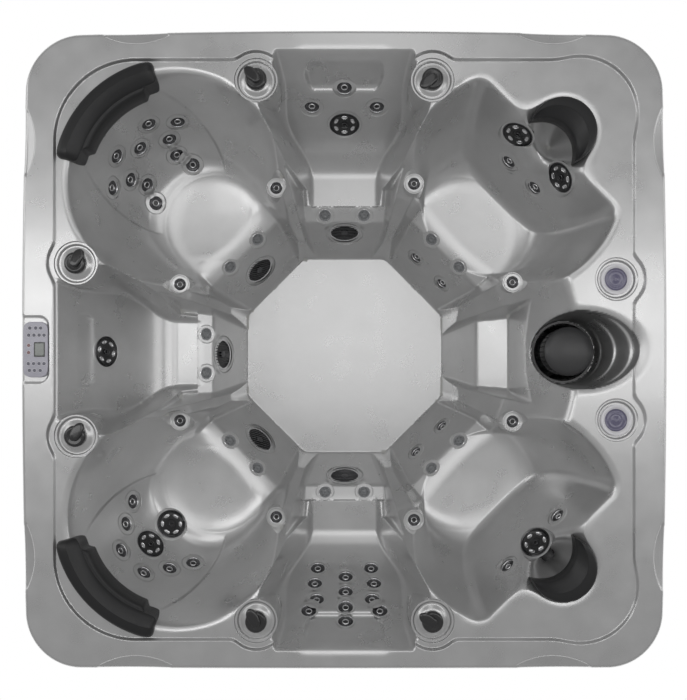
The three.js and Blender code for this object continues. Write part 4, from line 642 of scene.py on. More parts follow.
def makeBoards():  # long fibres in a board: noise stretched along it, as tone and bump height
    group, given, made = newGroup("boards", [("Color", "NodeSocketColor", (0.1, 0.1, 0.1, 1)),
                                             ("Dark", "NodeSocketColor", (0.05, 0.05, 0.05, 1))],
                                  [("Color", "NodeSocketColor"), ("Normal", "NodeSocketVector")])
    where = group.nodes.new("ShaderNodeTexCoord").outputs["Object"]
    stretch = group.nodes.new("ShaderNodeMapping")
    stretch.inputs["Scale"].default_value = (3, 3, 90)
    group.links.new(where, stretch.inputs["Vector"])
    fibres = noiseNode(group, stretch.outputs["Vector"], 2.2, 6, 0.62).outputs["Fac"]
    mask = rangeNode(group, fibres, 0.35, 0.65, 0, 1)
    group.links.new(mixNode(group, "MIX", mask, given.outputs["Dark"], given.outputs["Color"]),
                    made.inputs["Color"])
    bump = group.nodes.new("ShaderNodeBump")
    bump.inputs["Strength"].default_value, bump.inputs["Distance"].default_value = 0.35, 0.001
    group.links.new(fibres, bump.inputs["Height"])
    group.links.new(bump.outputs["Normal"], made.inputs["Normal"])
    return group


pearl, grain, boards = makePearl(), makeGrain(), makeBoards()


def newMaterial(name, color, **settings):
    material = bpy.data.materials.new(name)
    material.use_nodes = True
    shader = material.node_tree.nodes["Principled BSDF"]
    shader.inputs["Base Color"].default_value = (*color, 1)
    for label, value in settings.items():
        shader.inputs[label.replace("_", " ")].default_value = value
    material.diffuse_color = (*color, 1)
    return material


def wire(material, group, color, **settings):  # places a group in a material, with its own values
    tree = material.node_tree
    node = tree.nodes.new("ShaderNodeGroup")
    node.node_tree = group
    node.inputs["Color"].default_value = (*color, 1)
    for label, value in settings.items():
        node.inputs[label].default_value = value
    shader = tree.nodes["Principled BSDF"]
    for output, target in (("Color", "Base Color"), ("Roughness", "Roughness"), ("Normal", "Normal")):
        if output in node.outputs:
            tree.links.new(node.outputs[output], shader.inputs[target])
    return material


def finished(name, color, group, look, **values):  # a material whose colour goes through one of the groups
    return wire(newMaterial(name, color, **look), group, color, **values)


acrylic = finished("pearlAcrylic", (0.64, 0.64, 0.64), pearl,
                   dict(Metallic=0.75, Coat_Weight=0.6, Coat_Roughness=0.05))
brightMetal = finished("brightRing", (0.78, 0.78, 0.79), grain, dict(Metallic=1.0), Scale=260, Depth=0.03,
                       Smooth=0.12, Rough=0.22)
darkMetal = finished("darkDish", (0.12, 0.12, 0.125), grain, dict(Metallic=0.9), Scale=300, Depth=0.04,
                     Smooth=0.16, Rough=0.28)
blackPlastic = finished("blackPlastic", (0.012, 0.012, 0.013), grain,
                        dict(Coat_Weight=0.4, Coat_Roughness=0.1), Smooth=0.25, Rough=0.4)
pipePlastic = finished("pipePlastic", (0.62, 0.62, 0.60), grain, {}, Scale=180, Smooth=0.35, Rough=0.5)
clearPlastic = finished("frostedClear", (0.34, 0.35, 0.36), grain, dict(Transmission_Weight=0.35, IOR=1.46),
                        Scale=120, Depth=0.05, Smooth=0.1, Rough=0.22)
capPlastic = finished("capPlastic", (0.016, 0.016, 0.017), grain, dict(Coat_Weight=0.7, Coat_Roughness=0.06),
                      Scale=500, Depth=0.05, Smooth=0.18, Rough=0.3)
pillowSkin = finished("pillowSkin", (0.014, 0.014, 0.015), grain, dict(Sheen_Weight=0.05), Scale=650,
                      Depth=0.4, Smooth=0.3, Rough=0.45)
paleRing = finished("paleRing", (0.86, 0.85, 0.88), grain, dict(Coat_Weight=0.3), Scale=200, Depth=0.05,
                    Smooth=0.25, Rough=0.4)
violetLens = finished("violetLens", (0.15, 0.14, 0.23), grain, dict(Coat_Weight=1.0, Coat_Roughness=0.03),
                      Scale=90, Depth=0.1, Smooth=0.15, Rough=0.35)
panelSkin = finished("panelSkin", (0.50, 0.49, 0.56), grain, dict(Coat_Weight=0.5, Coat_Roughness=0.12),
                     Scale=900, Depth=0.1, Smooth=0.3, Rough=0.45)
keyRubber = finished("keyRubber", (0.20, 0.20, 0.24), grain, {}, Scale=700, Depth=0.2, Smooth=0.45, Rough=0.6)
keyWarm = finished("keyWarm", (0.36, 0.22, 0.22), grain, {}, Scale=700, Depth=0.2, Smooth=0.45, Rough=0.6)
displayGlass = finished("displayGlass", (0.13, 0.15, 0.13), grain, dict(Coat_Weight=1.0, Coat_Roughness=0.02),
                        Scale=60, Depth=0.02, Smooth=0.08, Rough=0.16)
lidPlastic = finished("lidPlastic", (0.045, 0.045, 0.047), grain, dict(Coat_Weight=0.25, Coat_Roughness=0.2),
                      Scale=450, Depth=0.12, Smooth=0.3, Rough=0.45)
pleatCloth = finished("pleatCloth", (0.72, 0.73, 0.74), grain, {}, Scale=800, Depth=0.5, Smooth=0.8,
                      Rough=0.95)
cabinetBoard = finished("cabinetBoard", (0.16, 0.155, 0.15), boards, dict(Roughness=0.55),
                        Dark=(0.10, 0.097, 0.093, 1))
cabinetTrim = finished("cabinetTrim", (0.035, 0.035, 0.036), grain, {}, Scale=350, Depth=0.3, Smooth=0.45,
                       Rough=0.65)
frameSteel = finished("frameSteel", (0.5, 0.51, 0.52), grain, dict(Metallic=1.0), Scale=120, Depth=0.1,
                      Smooth=0.35, Rough=0.55)
pumpPaint = finished("pumpPaint", (0.03, 0.035, 0.04), grain, dict(Coat_Weight=0.2), Scale=300, Depth=0.3,
                     Smooth=0.4, Rough=0.6)
print("materials made")


# The formed surface: a square grid of points carried out to the tub's outline, row by row
skin = dict(cells=620, quickCells=300, backCells=124, wall=9, normalSpan=1.2, padSpan=0.7, padPress=18,
            clearRound=34)


def unitGrid(count):  # points of the unit square, closer together towards the outside
    line = np.linspace(-1, 1, count + 1)
    line = 0.5 * line + 0.5 * np.sin(line * math.pi / 2)
    return np.meshgrid(line, line)


def squareGrid(count):  # the plan points that the unit square's points are carried to
    s, t = unitGrid(count)
    reach = np.maximum(np.maximum(np.abs(s), np.abs(t)), 1e-9)
    x, y = outlineAt(s / reach, t / reach, tub["edge"])
    return x * reach, y * reach


def gridNormals(points):  # cross product of the two directions through each point
    across, along = np.gradient(points, axis=1), np.gradient(points, axis=0)
    normals = np.cross(across, along)
    return normals / np.maximum(np.linalg.norm(normals, axis=2)[..., None], 1e-9)


cellCount = skin["cells"]
gridX, gridY = squareGrid(cellCount)
skinPoints = np.stack([gridX, gridY,
                       tub["height"] - gridDepth(gridX.ravel(), gridY.ravel()).reshape(gridX.shape)], axis=2)
skinNormals = surfaceNormals(gridDepth, gridX.ravel(), gridY.ravel(),
                             skin["normalSpan"]).reshape(skinPoints.shape)
basketMouth = discEdge(gridX, gridY, filterWell["reach"], 0, filterWell["mouth"]) < 0
half = cellCount // 2
for name, rows, columns in (("southwest", slice(0, half + 1), slice(0, half + 1)),
                            ("southeast", slice(0, half + 1), slice(half, None)),
                            ("northwest", slice(half, None), slice(0, half + 1)),
                            ("northeast", slice(half, None), slice(half, None))):
    some = skinPoints[rows, columns]
    faces = gridFaces(*some.shape[:2])
    # left open over the filter's basket
    faces = faces[~basketMouth[rows, columns].ravel()[faces].all(axis=1)]
    addMesh(f"shell_skin_{name}", some, [faces], acrylic, "acrylic_shell", "acrylic",
            normals=skinNormals[rows, columns])
print("shell skin", skinPoints.shape)


def borderOf(grid):  # the grid's outer points in one counter-clockwise loop
    return np.concatenate([grid[0, :-1], grid[:-1, -1], grid[-1, :0:-1], grid[:0:-1, 0]])


def makeLip():  # from the grid's border: a quarter round, a skirt, its lower edge and the inside of the skirt
    s, t = [borderOf(grid) for grid in unitGrid(cellCount)]
    edge, skirt = tub["edge"], tub["skirt"]
    rows = [(edge * (1 - math.sin(a)), edge * (1 - math.cos(a))) for a in np.linspace(0, math.pi / 2, 9)]
    rows += [(0, drop) for drop in (20, 30, 45, 62, skirt - 3)]
    rows += [(0.9, skirt - 0.9), (3, skirt), (6, skirt), (8.6, skirt - 1.5), (9, skirt - 8), (9, 28),
             (14, 22)]
    border = borderOf(skinPoints)
    points = []
    for inset, drop in rows:
        x, y = outlineAt(s, t, inset)
        top = border[:, 2] * (1 - drop / skirt) + tub["height"] * drop / skirt
        points.append(np.stack([x, y, top - drop], axis=1))
    points = np.stack(points)
    addMesh("shell_lip", points[::-1], [gridFaces(len(rows), points.shape[1], roundColumns=True)], acrylic,
            "acrylic_shell", "acrylic", smooth=180)


# the back of the wall: the surface moved inward along its own normals, on a coarser grid
def makeUnderside():
    x, y = squareGrid(skin["backCells"])
    depth = bareDepth(x.ravel(), y.ravel()).reshape(x.shape)
    top = np.stack([x, y, tub["height"] - depth], axis=2)
    under = top - gridNormals(top) * skin["wall"]
    border = np.zeros(x.shape, bool)
    border[[0, -1]] = True
    border[:, [0, -1]] = True
    under[border] = top[border] - [0, 0, 22]
    clear = discEdge(x, y, filterWell["reach"], 0, filterWell["mouth"] + 12).ravel() > 0
    for pad in pads:  # the wall is drilled for each fitting, so no sheet runs through its body
        away = np.linalg.norm(top.reshape(-1, 3) - pad["origin"], axis=1)
        clear &= away > pad["reach"] + skin["clearRound"]
    faces = gridFaces(*x.shape)[:, ::-1]
    faces = faces[clear[faces].all(axis=1)]
    addMesh("shell_back", under, [faces], pipePlastic, "acrylic_shell", "acrylic", smooth=60)


makeLip()
makeUnderside()


# Round pads: a fine polar patch over each, from a little past its edge to its middle
def makePads():
    around = 64
    a = 2 * math.pi * np.arange(around) / around
    allPoints, allNormals, quads, caps, start = [], [], [], [], 0
    for pad in pads:
        widest = pad["reach"]
        radii = {widest + 14, widest + 10, widest + 6, 0.9 * pad["steps"][-1][0]}
        for radius, sink, soft in pad["steps"]:
            radii |= {radius + share * soft for share in (1.6, 1, 0.7, 0.35, 0, -0.35, -0.7, -1, -1.6)}
        radii |= {radius for radius, lift in pad["boss"]}
        rings = np.array(sorted(radii, reverse=True))
        rings = np.append(rings[rings > pad["hole"] + 1], pad["hole"] or 0.4 * widest)
        local = np.stack([rings[:, None] * np.cos(a), rings[:, None] * np.sin(a), 0 * rings[:, None] * a],
                         axis=2)
        x, y = np.moveaxis(local @ turnsTo(pad["normal"][None])[0].T + pad["origin"], 2, 0)[:2]
        lifts = np.zeros(len(rings))
        if pad["boss"]:
            bossRadii, bossLifts = np.array(pad["boss"][::-1]).T
            lifts = np.interp(rings, bossRadii, bossLifts)
        normals = surfaceNormals(shellDepth, x.ravel(), y.ravel(), skin["padSpan"]).reshape(*x.shape, 3)
        points = np.stack([x, y, tub["height"] - shellDepth(x.ravel(), y.ravel()).reshape(x.shape)], axis=2)
        points = points + pad["normal"] * lifts[:, None, None] + normals * 0.1
        if pad["boss"]:
            normals = gridNormals(np.concatenate([points[:, -1:], points, points[:, :1]], axis=1))[:, 1:-1]
        allPoints.append(points.reshape(-1, 3))
        allNormals.append(normals.reshape(-1, 3))
        quads.append(gridFaces(len(rings), around, roundColumns=True) + start)
        last = start + (len(rings) - 1) * around
        if not pad["hole"]:
            caps.append(np.arange(last, last + around)[None])
        start += len(rings) * around
    addMesh("shell_pads", np.concatenate(allPoints), [np.concatenate(quads), np.concatenate(caps)], acrylic,
            "acrylic_shell",
            "acrylic", normals=np.concatenate(allNormals))


makePads()
print("pads", len(pads))


# Jets: a dark dish on its body, a bright ring round it and a bright nozzle, with a black disc set in its hole
# as painted shade
jetParts = dict(ring=[(31, -6), (31.6, -3.6), (31, -1.2), (29.6, -0.2), (28, -0.6), (26.8, -2.2), (26.4, -6)],
                dish=[(0, -64), (19, -64), (20, -62), (20, -40), (29, -30), (29.5, -3), (27.4, -2.4),
                      (25, -5), (20, -7.4), (14.5, -8.4), (13, -8.6), (0, -8.8)],
                nozzle=[(14, -9), (14, -5), (13.2, -2.4), (11.4, -1.2), (9.6, -1.8), (8.6, -3.6), (8.2, -9)],
                hole=[(0, -12), (8, -12), (8, -7.6), (0, -7.8)])


def scaled(profile, share):  # the same profile, narrower or wider
    return [(radius * share, height) for radius, height in profile]


def lineThrough(points, radius, bend=2, around=8):  # a pipe along points, with its corners rounded
    return swept(rounded(points, bend), circle(radius, around))


def backOf(origins, turns, depth):  # points behind fittings, along their own axes
    return origins - turns[:, :, 2] * depth


sinks = dict(jet=2, ledge=4, injector=2, suction=7, foot=5)
pipeDepths = dict(jet=60, rotor=80, ledge=318, injector=54, suction=98, foot=62)


def sunk(origins, turns, sink):  # places moved inward along their own axes
    return origins - turns[:, :, 2] * sink, turns


def addJets(name, node, origins, turns, wide=1, narrow=1):  # rings with their nozzles, dishes, and black discs in the holes as painted shade
    ring, dish = scaled(jetParts["ring"], wide), scaled(jetParts["dish"], wide)
    nozzle, hole = scaled(jetParts["nozzle"], narrow), scaled(jetParts["hole"], narrow)
    rings = joined(turned(ring, 32, origins, turns, loop=True), turned(nozzle, 20, origins, turns, loop=True))
    addMesh(f"{name}_jet_rings", *rings, brightMetal, node, "jet")
    addMesh(f"{name}_jet_dishes", *turned(dish, 28, origins, turns), darkMetal, node, "jet")
    # a black disc low in each nozzle's bore stands for the shade inside the hole: painted shade
    addMesh(f"{name}_jet_hole_shade_discs", *turned(hole, 16, origins, turns), blackPlastic, node, "black")


def makeSeatJets():
    rotorsOf = dict(southwest=2, northeast=2, southeast=1, north=1, west=1)
    chains = dict(southwest=[[0, 1, 2, 3, 4, 5], [6, 7, 2]], northeast=[[2, 0, 1, 3]], southeast=[[0, 2, 1]])
    for name in ("northwest", "southwest", "northeast", "southeast", "north", "south", "west"):
        node = f"{name}_jet_plumbing"
        backs = []
        if name in jetSeats:
            origins, turns = sunk(*jetSeats[name], sinks["jet"])
            addJets(name, node, origins, turns)
            backs += list(backOf(origins, turns, pipeDepths["jet"]))
        for number in range(rotorsOf.get(name, 0)):
            origin, turn = rotorSeats[f"{name}_rotor_{number + 1}"]
            backs.append(backOf(origin, turn, pipeDepths["rotor"])[0])
        if len(backs) > 1:
            lines = [lineThrough([backs[k] for k in chain], 10, bend=1)
                     for chain in chains.get(name, [range(len(backs))])]
            addMesh(f"{name}_jet_pipe", *joined(*lines), pipePlastic, node, "grey")


# Large jets: a ring in the shell, a cup behind it, and on its own body a black face with bright oval windows
rotaryParts = dict(ring=[(57.5, -6), (58, -1), (57, 1.2), (55, 1.8), (53.4, 0.8), (53, -6)],
                   cup=[(0, -84), (40, -84), (44, -80), (46, -30), (56, -24), (56.5, -2.5), (53.5, -2.5),
                        (50, -20), (0, -20)],
                   face=[(0, -12), (43, -12), (50.5, -7), (52, -1.5), (51, 1.4), (48.6, 2), (46.4, 0.6),
                         (40, -1.4), (26, -2.6), (21, -3), (19, -5.4), (10, -6), (0, -6)],
                   hub=[(9.5, -6.5), (9.6, -1.6), (8.4, -0.6), (6.4, -0.8), (5.6, -2.4), (5.4, -6.5)],
                   window=[(0, -1.5), (9.6, -1.5), (10, 0.8), (9, 1.7), (7.8, 0.6), (5, -0.5), (0, -0.9)])


def makeRotaryJets():
    for number, (name, (origins, turns)) in enumerate(rotorSeats.items()):
        node = name[:name.index("_rotor")] + "_jet_plumbing"
        addMesh(f"{name}_ring", *turned(rotaryParts["ring"], 56, origins, turns, loop=True), darkMetal, node,
                "jet")
        addMesh(f"{name}_cup", *turned(rotaryParts["cup"], 40, origins, turns), blackPlastic, node, "black")
        addMesh(f"{name}_face", *turned(rotaryParts["face"], 56, origins, turns), blackPlastic, name, "black",
                body=name)
        addMesh(f"{name}_hub", *turned(rotaryParts["hub"], 24, origins, turns, loop=True), darkMetal, name,
                "jet", body=name)
        spots, spotTurns = [], []
        for k in range(6):
            spin = spinBy(2 * math.pi * (k + 0.3 * number) / 6)
            spotTurns.append(turns[0] @ spin @ np.diag([0.72, 1.25, 1]))
            spots.append(origins[0] + turns[0] @ spin @ np.array([37, 0, -0.4]))
        addMesh(f"{name}_windows", *turned(rotaryParts["window"], 24, spots, spotTurns), brightMetal, name,
                "jet", body=name)


# Ledge jets stand upright on the ring between the seats and the footwell, on long stems
def makeLedgeLine():
    origins, turns = sunk(*ledgeSeats, sinks["ledge"])
    addJets("ledge", "ledge_jet_line", origins, turns, wide=0.82, narrow=0.9)
    stems = turned([(0, -326), (10, -326), (11, -324), (11, -60), (0, -60)], 12, origins, turns)
    backs = backOf(origins, turns, pipeDepths["ledge"])
    order = np.argsort(np.arctan2(backs[:, 1], backs[:, 0]))
    addMesh("ledge_jet_pipe", *joined(stems, lineThrough(backs[order], 10)), pipePlastic, "ledge_jet_line",
            "grey")


# Air injectors: clear domed caps along the seat fronts
injectorCap = [(0, -20), (11, -20), (12, -19), (12, -7), (25, -5), (26, -3), (25.6, -0.6), (23.6, 0.6),
               (20.5, 0.2), (18.8, -1.6), (16, -2.2),
               (13.4, -1.4), (12, 0.8), (9.6, 2), (6, 1.4), (3.4, -0.6), (0, -1)]


def makeInjectors():
    origins, turns = sunk(*injectorSeats, sinks["injector"])
    addMesh("injector_caps", *turned(injectorCap, 32, origins, turns), clearPlastic, "injector_air_line",
            "clear")
    addMesh("injector_rings", *turned([(24.6, -5), (26.4, -3), (26.8, 0), (25.4, 1.1), (23.6, 0.9), (23, -2)],
                                      36, origins, turns, loop=True), brightMetal,
            "injector_air_line", "clear")
    # six dark dots on each cap stand for its air holes: painted shade where the openings are
    a = 2 * math.pi * np.arange(6) / 6
    spots = place(np.stack([15.2 * np.cos(a), 15.2 * np.sin(a), 0 * a - 1.7], axis=1), origins,
                  turns).reshape(-1, 3)
    addMesh("injector_holes", *turned([(0, -1), (1.6, -1), (1.7, 0.1), (1.4, 0.25), (0, 0.1)], 8, spots,
                                      np.repeat(turns, 6, axis=0)), darkMetal,
            "injector_air_line", "black")
    stems = turned([(0, -60), (8, -60), (9, -58), (9, -20), (0, -20)], 10, origins, turns)
    runs = []
    backs = backOf(origins, turns, pipeDepths["injector"])
    for k in range(0, len(backs) - 1, 2):
        runs.append(backs[k:k + 2])
        if k + 2 < len(backs):
            middle = (backs[k + 1] + backs[k + 2]) / 2
            middle[:2] *= 625 / np.hypot(*middle[:2])
            runs.append(np.array([middle]))
    addMesh("injector_pipe", *joined(stems, lineThrough(np.concatenate(runs), 8)), pipePlastic,
            "injector_air_line", "grey")


# Suction covers in the footwell's walls: a ring, a dark back and curved ribs across it
suctionParts = dict(ring=[(66, -8), (66.5, -2), (65, 0.8), (61, 1.8), (57.5, 0.2), (57, -8)],
                    cup=[(0, -100), (40, -100), (44, -96), (44, -20), (62, -14), (62, -6), (0, -6)],
                    boss=[(0, -6), (15, -6), (15.5, 2.2), (14, 4), (8, 4.6), (0, 4.6)], ribs=4.2, pitch=11.5,
                    ribReach=58, crown=3.6, ribSink=1.5)


def makeSuctions():
    origins, turns = sunk(*suctionSeats, sinks["suction"])
    addMesh("suction_rings", *turned(suctionParts["ring"], 48, origins, turns, loop=True), brightMetal,
            "suction_line", "jet")
    addMesh("suction_bosses", *turned(suctionParts["boss"], 24, origins, turns), darkMetal, "suction_line",
            "jet")
    addMesh("suction_cups", *turned(suctionParts["cup"], 40, origins, turns), blackPlastic, "suction_line",
            "black")
    bars = []
    for offset in suctionParts["pitch"] * np.arange(-4, 5):
        reach = math.sqrt(suctionParts["ribReach"] ** 2 - offset ** 2)
        x = np.linspace(-reach, reach, 13)
        out = (x * x + offset * offset) / suctionParts["ribReach"] ** 2
        height = suctionParts["crown"] * (1 - out) - suctionParts["ribSink"]
        for origin, turn in zip(origins, turns):
            path = np.stack([x, offset + 0 * x, height], axis=1) @ turn.T + origin
            bars.append(swept(path, circle(suctionParts["ribs"] / 2, 8)))
    addMesh("suction_ribs", *joined(*bars), darkMetal, "suction_line", "jet")
    footOrigins, footTurns = sunk(*footSeats, sinks["foot"])
    addJets("foot", "suction_line", footOrigins, footTurns, wide=0.86)
    backs = [backOf(origins, turns, pipeDepths["suction"]),
             backOf(footOrigins, footTurns, pipeDepths["foot"])]
    backs = np.concatenate(backs)
    angles = np.arctan2(backs[:, 1], backs[:, 0]) % (2 * math.pi)
    addMesh("suction_pipe", *lineThrough(backs[np.argsort(angles)], 12), pipePlastic, "suction_line", "grey")


makeSeatJets()
makeRotaryJets()
makeLedgeLine()
makeInjectors()
makeSuctions()
print("jets, injectors and suction covers")


# Valve caps: a domed cap with a raised grip that runs out to a pointed beak over its edge
knob = dict(radius=38.5, grip=17, beak=54, gripRise=9,
            toward=dict(top_left=135, left_lower=60, bottom_right=150, top_right=215, bottom_left=120,
                        left_upper=60))


def gripForm(centre, foot, toward):
    # a closed grid: a circle drawn out to a beak by ((1 + cos a) / 2)^7, whose top falls off by (1 - t^3)^0.5
    around, rings = 48, 10
    a = 2 * math.pi * np.arange(around) / around
    pull = ((1 + np.cos(a)) / 2) ** 7
    outline = knob["grip"] + (knob["beak"] - knob["grip"]) * pull
    t = np.linspace(0.02, 1, rings)[:, None]
    share = np.sin(t * math.pi / 2)
    fall = (1 - t ** 3) ** 0.5 * (1 - 0.45 * pull * t)
    x, y = share * outline * np.cos(a), share * outline * np.sin(a) * (1 - 0.1 * pull)
    z = foot + knob["gripRise"] * fall
    top = np.stack([x, y, z], axis=2)
    low = top[-1:].copy()
    low[..., 2] = foot - 6
    grid = np.concatenate([top, low])
    points = grid.reshape(-1, 3) @ spinBy(math.radians(toward)).T + centre
    points = np.concatenate([points, [centre + [0, 0, foot + knob["gripRise"]], centre + [0, 0, foot - 6]]])
    return points, [part[:, ::-1] for part in tubeFaces(rings + 1, around)]


def makeValves():
    for (name, (x, y)), origin in zip(knobPlaces.items(), knobSeats[0]):
        node = f"valve_knob_{name}"
        foot, top = levelsOf(node)
        centre = np.array([[x, y, foot]])
        rise = top - 6 - foot
        profile = [(0, 0), (37.6, 0), (38.5, 1.2), (38.5, rise * 0.55), (37.4, rise * 0.8),
                   (34.5, rise * 0.93), (30, rise * 0.98), (26, rise * 0.97),
                   (22, rise * 0.93), (0, rise * 0.92)]
        addMesh(f"{node}_cap", *turned(profile, 56, centre, np.eye(3)[None]), capPlastic, node, "black",
                body=node)
        addMesh(f"{node}_grip", *gripForm(centre[0], rise * 0.92, knob["toward"][name]), capPlastic, node,
                "black", body=node, smooth=55)
    origins, turns = knobSeats
    bodies = turned([(0, -150), (38, -150), (42, -146), (42, -24), (0, -24)], 24, origins, turns)
    owners = dict(top_left="northwest", top_right="north", left_upper="west", left_lower="southwest",
                  bottom_left="south", bottom_right="southeast")
    addMesh("valve_bodies", *bodies, pipePlastic, [f"{name}_jet_plumbing" for name in owners.values()],
            "grey")


# Lit cups: a violet lens with rings in it, in a pale ring
def makeCups():
    origins, turns = sunk(*cupSeats, cupSink)
    ring = [(55, -9), (55.6, 3), (54.6, 5.6), (51, 6.6), (47, 5.6), (42.5, 1.6), (40.4, -0.6), (40, -9)]
    lens = [(0, -20), (30, -20), (39.6, -16), (40, -2.4), (38.4, -1.4), (36.6, -2.6), (34, -3.4),
            (29.4, -2.6), (27, -1.6), (23, -2.2), (19.6, -3), (15, -1.6),
            (9.4, -1), (8, 0), (4.6, 0.9), (1.6, 0.4), (0, -0.1)]
    addMesh("light_cup_rings", *turned(ring, 56, origins, turns, loop=True), paleRing, "light_cups", "clear")
    addMesh("light_cup_lenses", *turned(lens, 48, origins, turns), violetLens, "light_cups", "clear")
    body = turned([(0, -52), (26, -52), (30, -50), (32, -21), (0, -21)], 24, origins, turns)
    low = origins[:, 2].min() - 110
    cable = lineThrough([(origins[0][0], origins[0][1], origins[0][2] - 50),
                         (origins[0][0], origins[0][1], low), (1078, 200, low - 20), (1078, -200, low - 20),
                         (origins[1][0], origins[1][1], low),
                         (origins[1][0], origins[1][1], origins[1][2] - 50)], 4)
    addMesh("light_cup_backs", *joined(body, cable), blackPlastic, "light_cups", "black")


makeValves()
makeCups()
print("valves and cups")


# Control panel: a plate with arched ends, a framed display and sixteen domed keys
panel = dict(x=-1096, half=44, halfLength=101, arch=13, top=936.3, displayX=14.5, displayHalf=(19.4, 26.3),
             keys=16, warmKeys=(8, 9))
keyParts = dict(dome=[(0, -3), (5.2, -3), (5.6, -2.4), (5.6, 1), (5, 1.3), (3.8, 1.5), (2.4, 1.2), (0, 1.1)],
                rim=[(7.4, -0.5), (7.5, 0.2), (6.9, 0.5), (6.3, 0.3), (6.2, -0.5)])


# outline of a rounded rectangle whose two ends are arched
def plateGrid(halfX, halfY, arch, corner, steps=12):
    a = np.linspace(0, 2 * math.pi, 8 * steps, endpoint=False) + math.pi / (8 * steps)
    c, s = np.cos(a), np.sin(a)
    x = np.sign(c) * np.abs(c) ** corner * halfX
    y = np.sign(s) * np.abs(s) ** corner * (halfY - arch * (x / halfX) ** 2)
    return np.stack([x, y], axis=1)


# rings of an outline, each narrower by its inset, at its height; closed at both ends
def raised(outline, insets, heights, centre):
    outline = np.asarray(outline, float)
    half = np.abs(outline).max(axis=0)
    rings = [np.column_stack([outline * (1 - inset / half), np.full(len(outline), height)])
             for inset, height in zip(insets, heights)]
    points = np.concatenate([np.concatenate(rings), [[0, 0, heights[0]], [0, 0, heights[-1]]]]) + centre
    return points, tubeFaces(len(rings), len(outline))


def makePanel():
    plate = plateGrid(panel["half"], panel["halfLength"], panel["arch"], 0.22)
    top = panel["top"]
    addMesh("control_panel_plate",
            *raised(plate, [0, 0, 0.4, 1.4, 3], [top - 6, top - 1.6, top - 0.6, top - 0.1, top],
                    [panel["x"], 0, 0]), panelSkin,
            "control_panel", "panel", smooth=30)
    body = raised(plateGrid(26, 80, 4, 0.3), [0.6, 0, 0], [904, 905, top - 6], [-1092, 0, 0])
    addMesh("control_panel_body", *body, blackPlastic, "control_panel", "black")
    width, length = panel["displayHalf"]
    bezel = raised(plateGrid(width, length, 0, 0.12), [0, 0, 0.5, 3],
                   [top - 2, top + 0.5, top + 0.9, top + 0.9], [panel["x"] + panel["displayX"], 0, 0])
    addMesh("control_panel_bezel", *bezel, blackPlastic, "control_panel", "black", smooth=30)
    glass = raised(plateGrid(width - 3.4, length - 3.4, 0, 0.14), [0, 0, 0.5, 2],
                   [top - 1, top + 0.9, top + 1.1, top + 1.15], [panel["x"] + panel["displayX"], 0, 0])
    addMesh("control_panel_glass", *glass, displayGlass, "control_panel", "panel", smooth=30)
    rims = []
    for number in range(1, panel["keys"] + 1):
        node = f"key_{number:02d}"
        low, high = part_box(node)
        x, y = 500 * (low.x + high.x), 500 * (low.y + high.y)
        spot = np.array([[x, y, top]])
        tone = keyWarm if number in panel["warmKeys"] else keyRubber
        dome = turned(keyParts["dome"], 20, spot, np.eye(3)[None])
        addMesh(f"{node}_dome", *dome, tone, node, "key", body=node)
        rims.append(turned(keyParts["rim"], 20, spot, np.eye(3)[None], loop=True))
    addMesh("control_panel_key_rims", *joined(*rims), paleRing, "control_panel", "panel")


makePanel()
print("control panel")


# Head pillows: bands along an arc behind the corner seats, and crescents in the necks of the others
pillow = dict(halfAngle=34, apronAngle=25.5, inner=328, bandShare=0.765, outer=438, crown=33, depth=88,
              steps=72)
crescent = dict(outerAngle=118, innerReach=1010, innerRadius=112, innerAngle=74, crown=27, depth=80, tip=8,
                steps=64)


# a closed Catmull-Rom curve through section points, at even steps of its parameter
def smoothLoop(points, count):
    points = np.asarray(points, float)
    t = np.linspace(0, len(points), count, endpoint=False)
    k, f = np.floor(t).astype(int), (t % 1)[:, None]
    a, b, c, d = (points[(k + offset) % len(points)] for offset in (-1, 0, 1, 2))
    return 0.5 * (2 * b + (c - a) * f + (2 * a - 5 * b + 4 * c - d) * f ** 2 + (3 * b - a - 3 * c + d)
                  * f ** 3)


def cushion(name, node, rows):  # rows of section points along the cushion, closed by a point at each end
    rows = np.asarray(rows, float)
    lift = tub["height"] - bareDepth(rows[..., 0].ravel(), rows[..., 1].ravel()).reshape(rows.shape[:2])
    rows[..., 2] = np.maximum(rows[..., 2], lift + 1.0)
    ends = rows[[0, -1]].mean(axis=1)
    points = np.concatenate([rows.reshape(-1, 3), ends])
    faces = tubeFaces(*rows.shape[:2])
    volume = np.sum(np.cross(points[faces[0][:, 0]], points[faces[0][:, 1]]) * points[faces[0][:, 2]])
    if volume < 0:
        faces = [part[:, ::-1] for part in faces]
    piece = addMesh(name, points, faces, pillowSkin, node, "pillow", smooth=60)
    return piece


def endShare(t, power):  # how full a cushion is along its length: 1 until near the ends, then rounded off
    return np.sqrt(np.maximum(1 - np.abs(2 * t - 1) ** power, 0))


def spread(steps):  # shares of a length from end to end, closer together towards both ends
    return (1 - np.cos(np.linspace(0.02, math.pi - 0.02, steps))) / 2


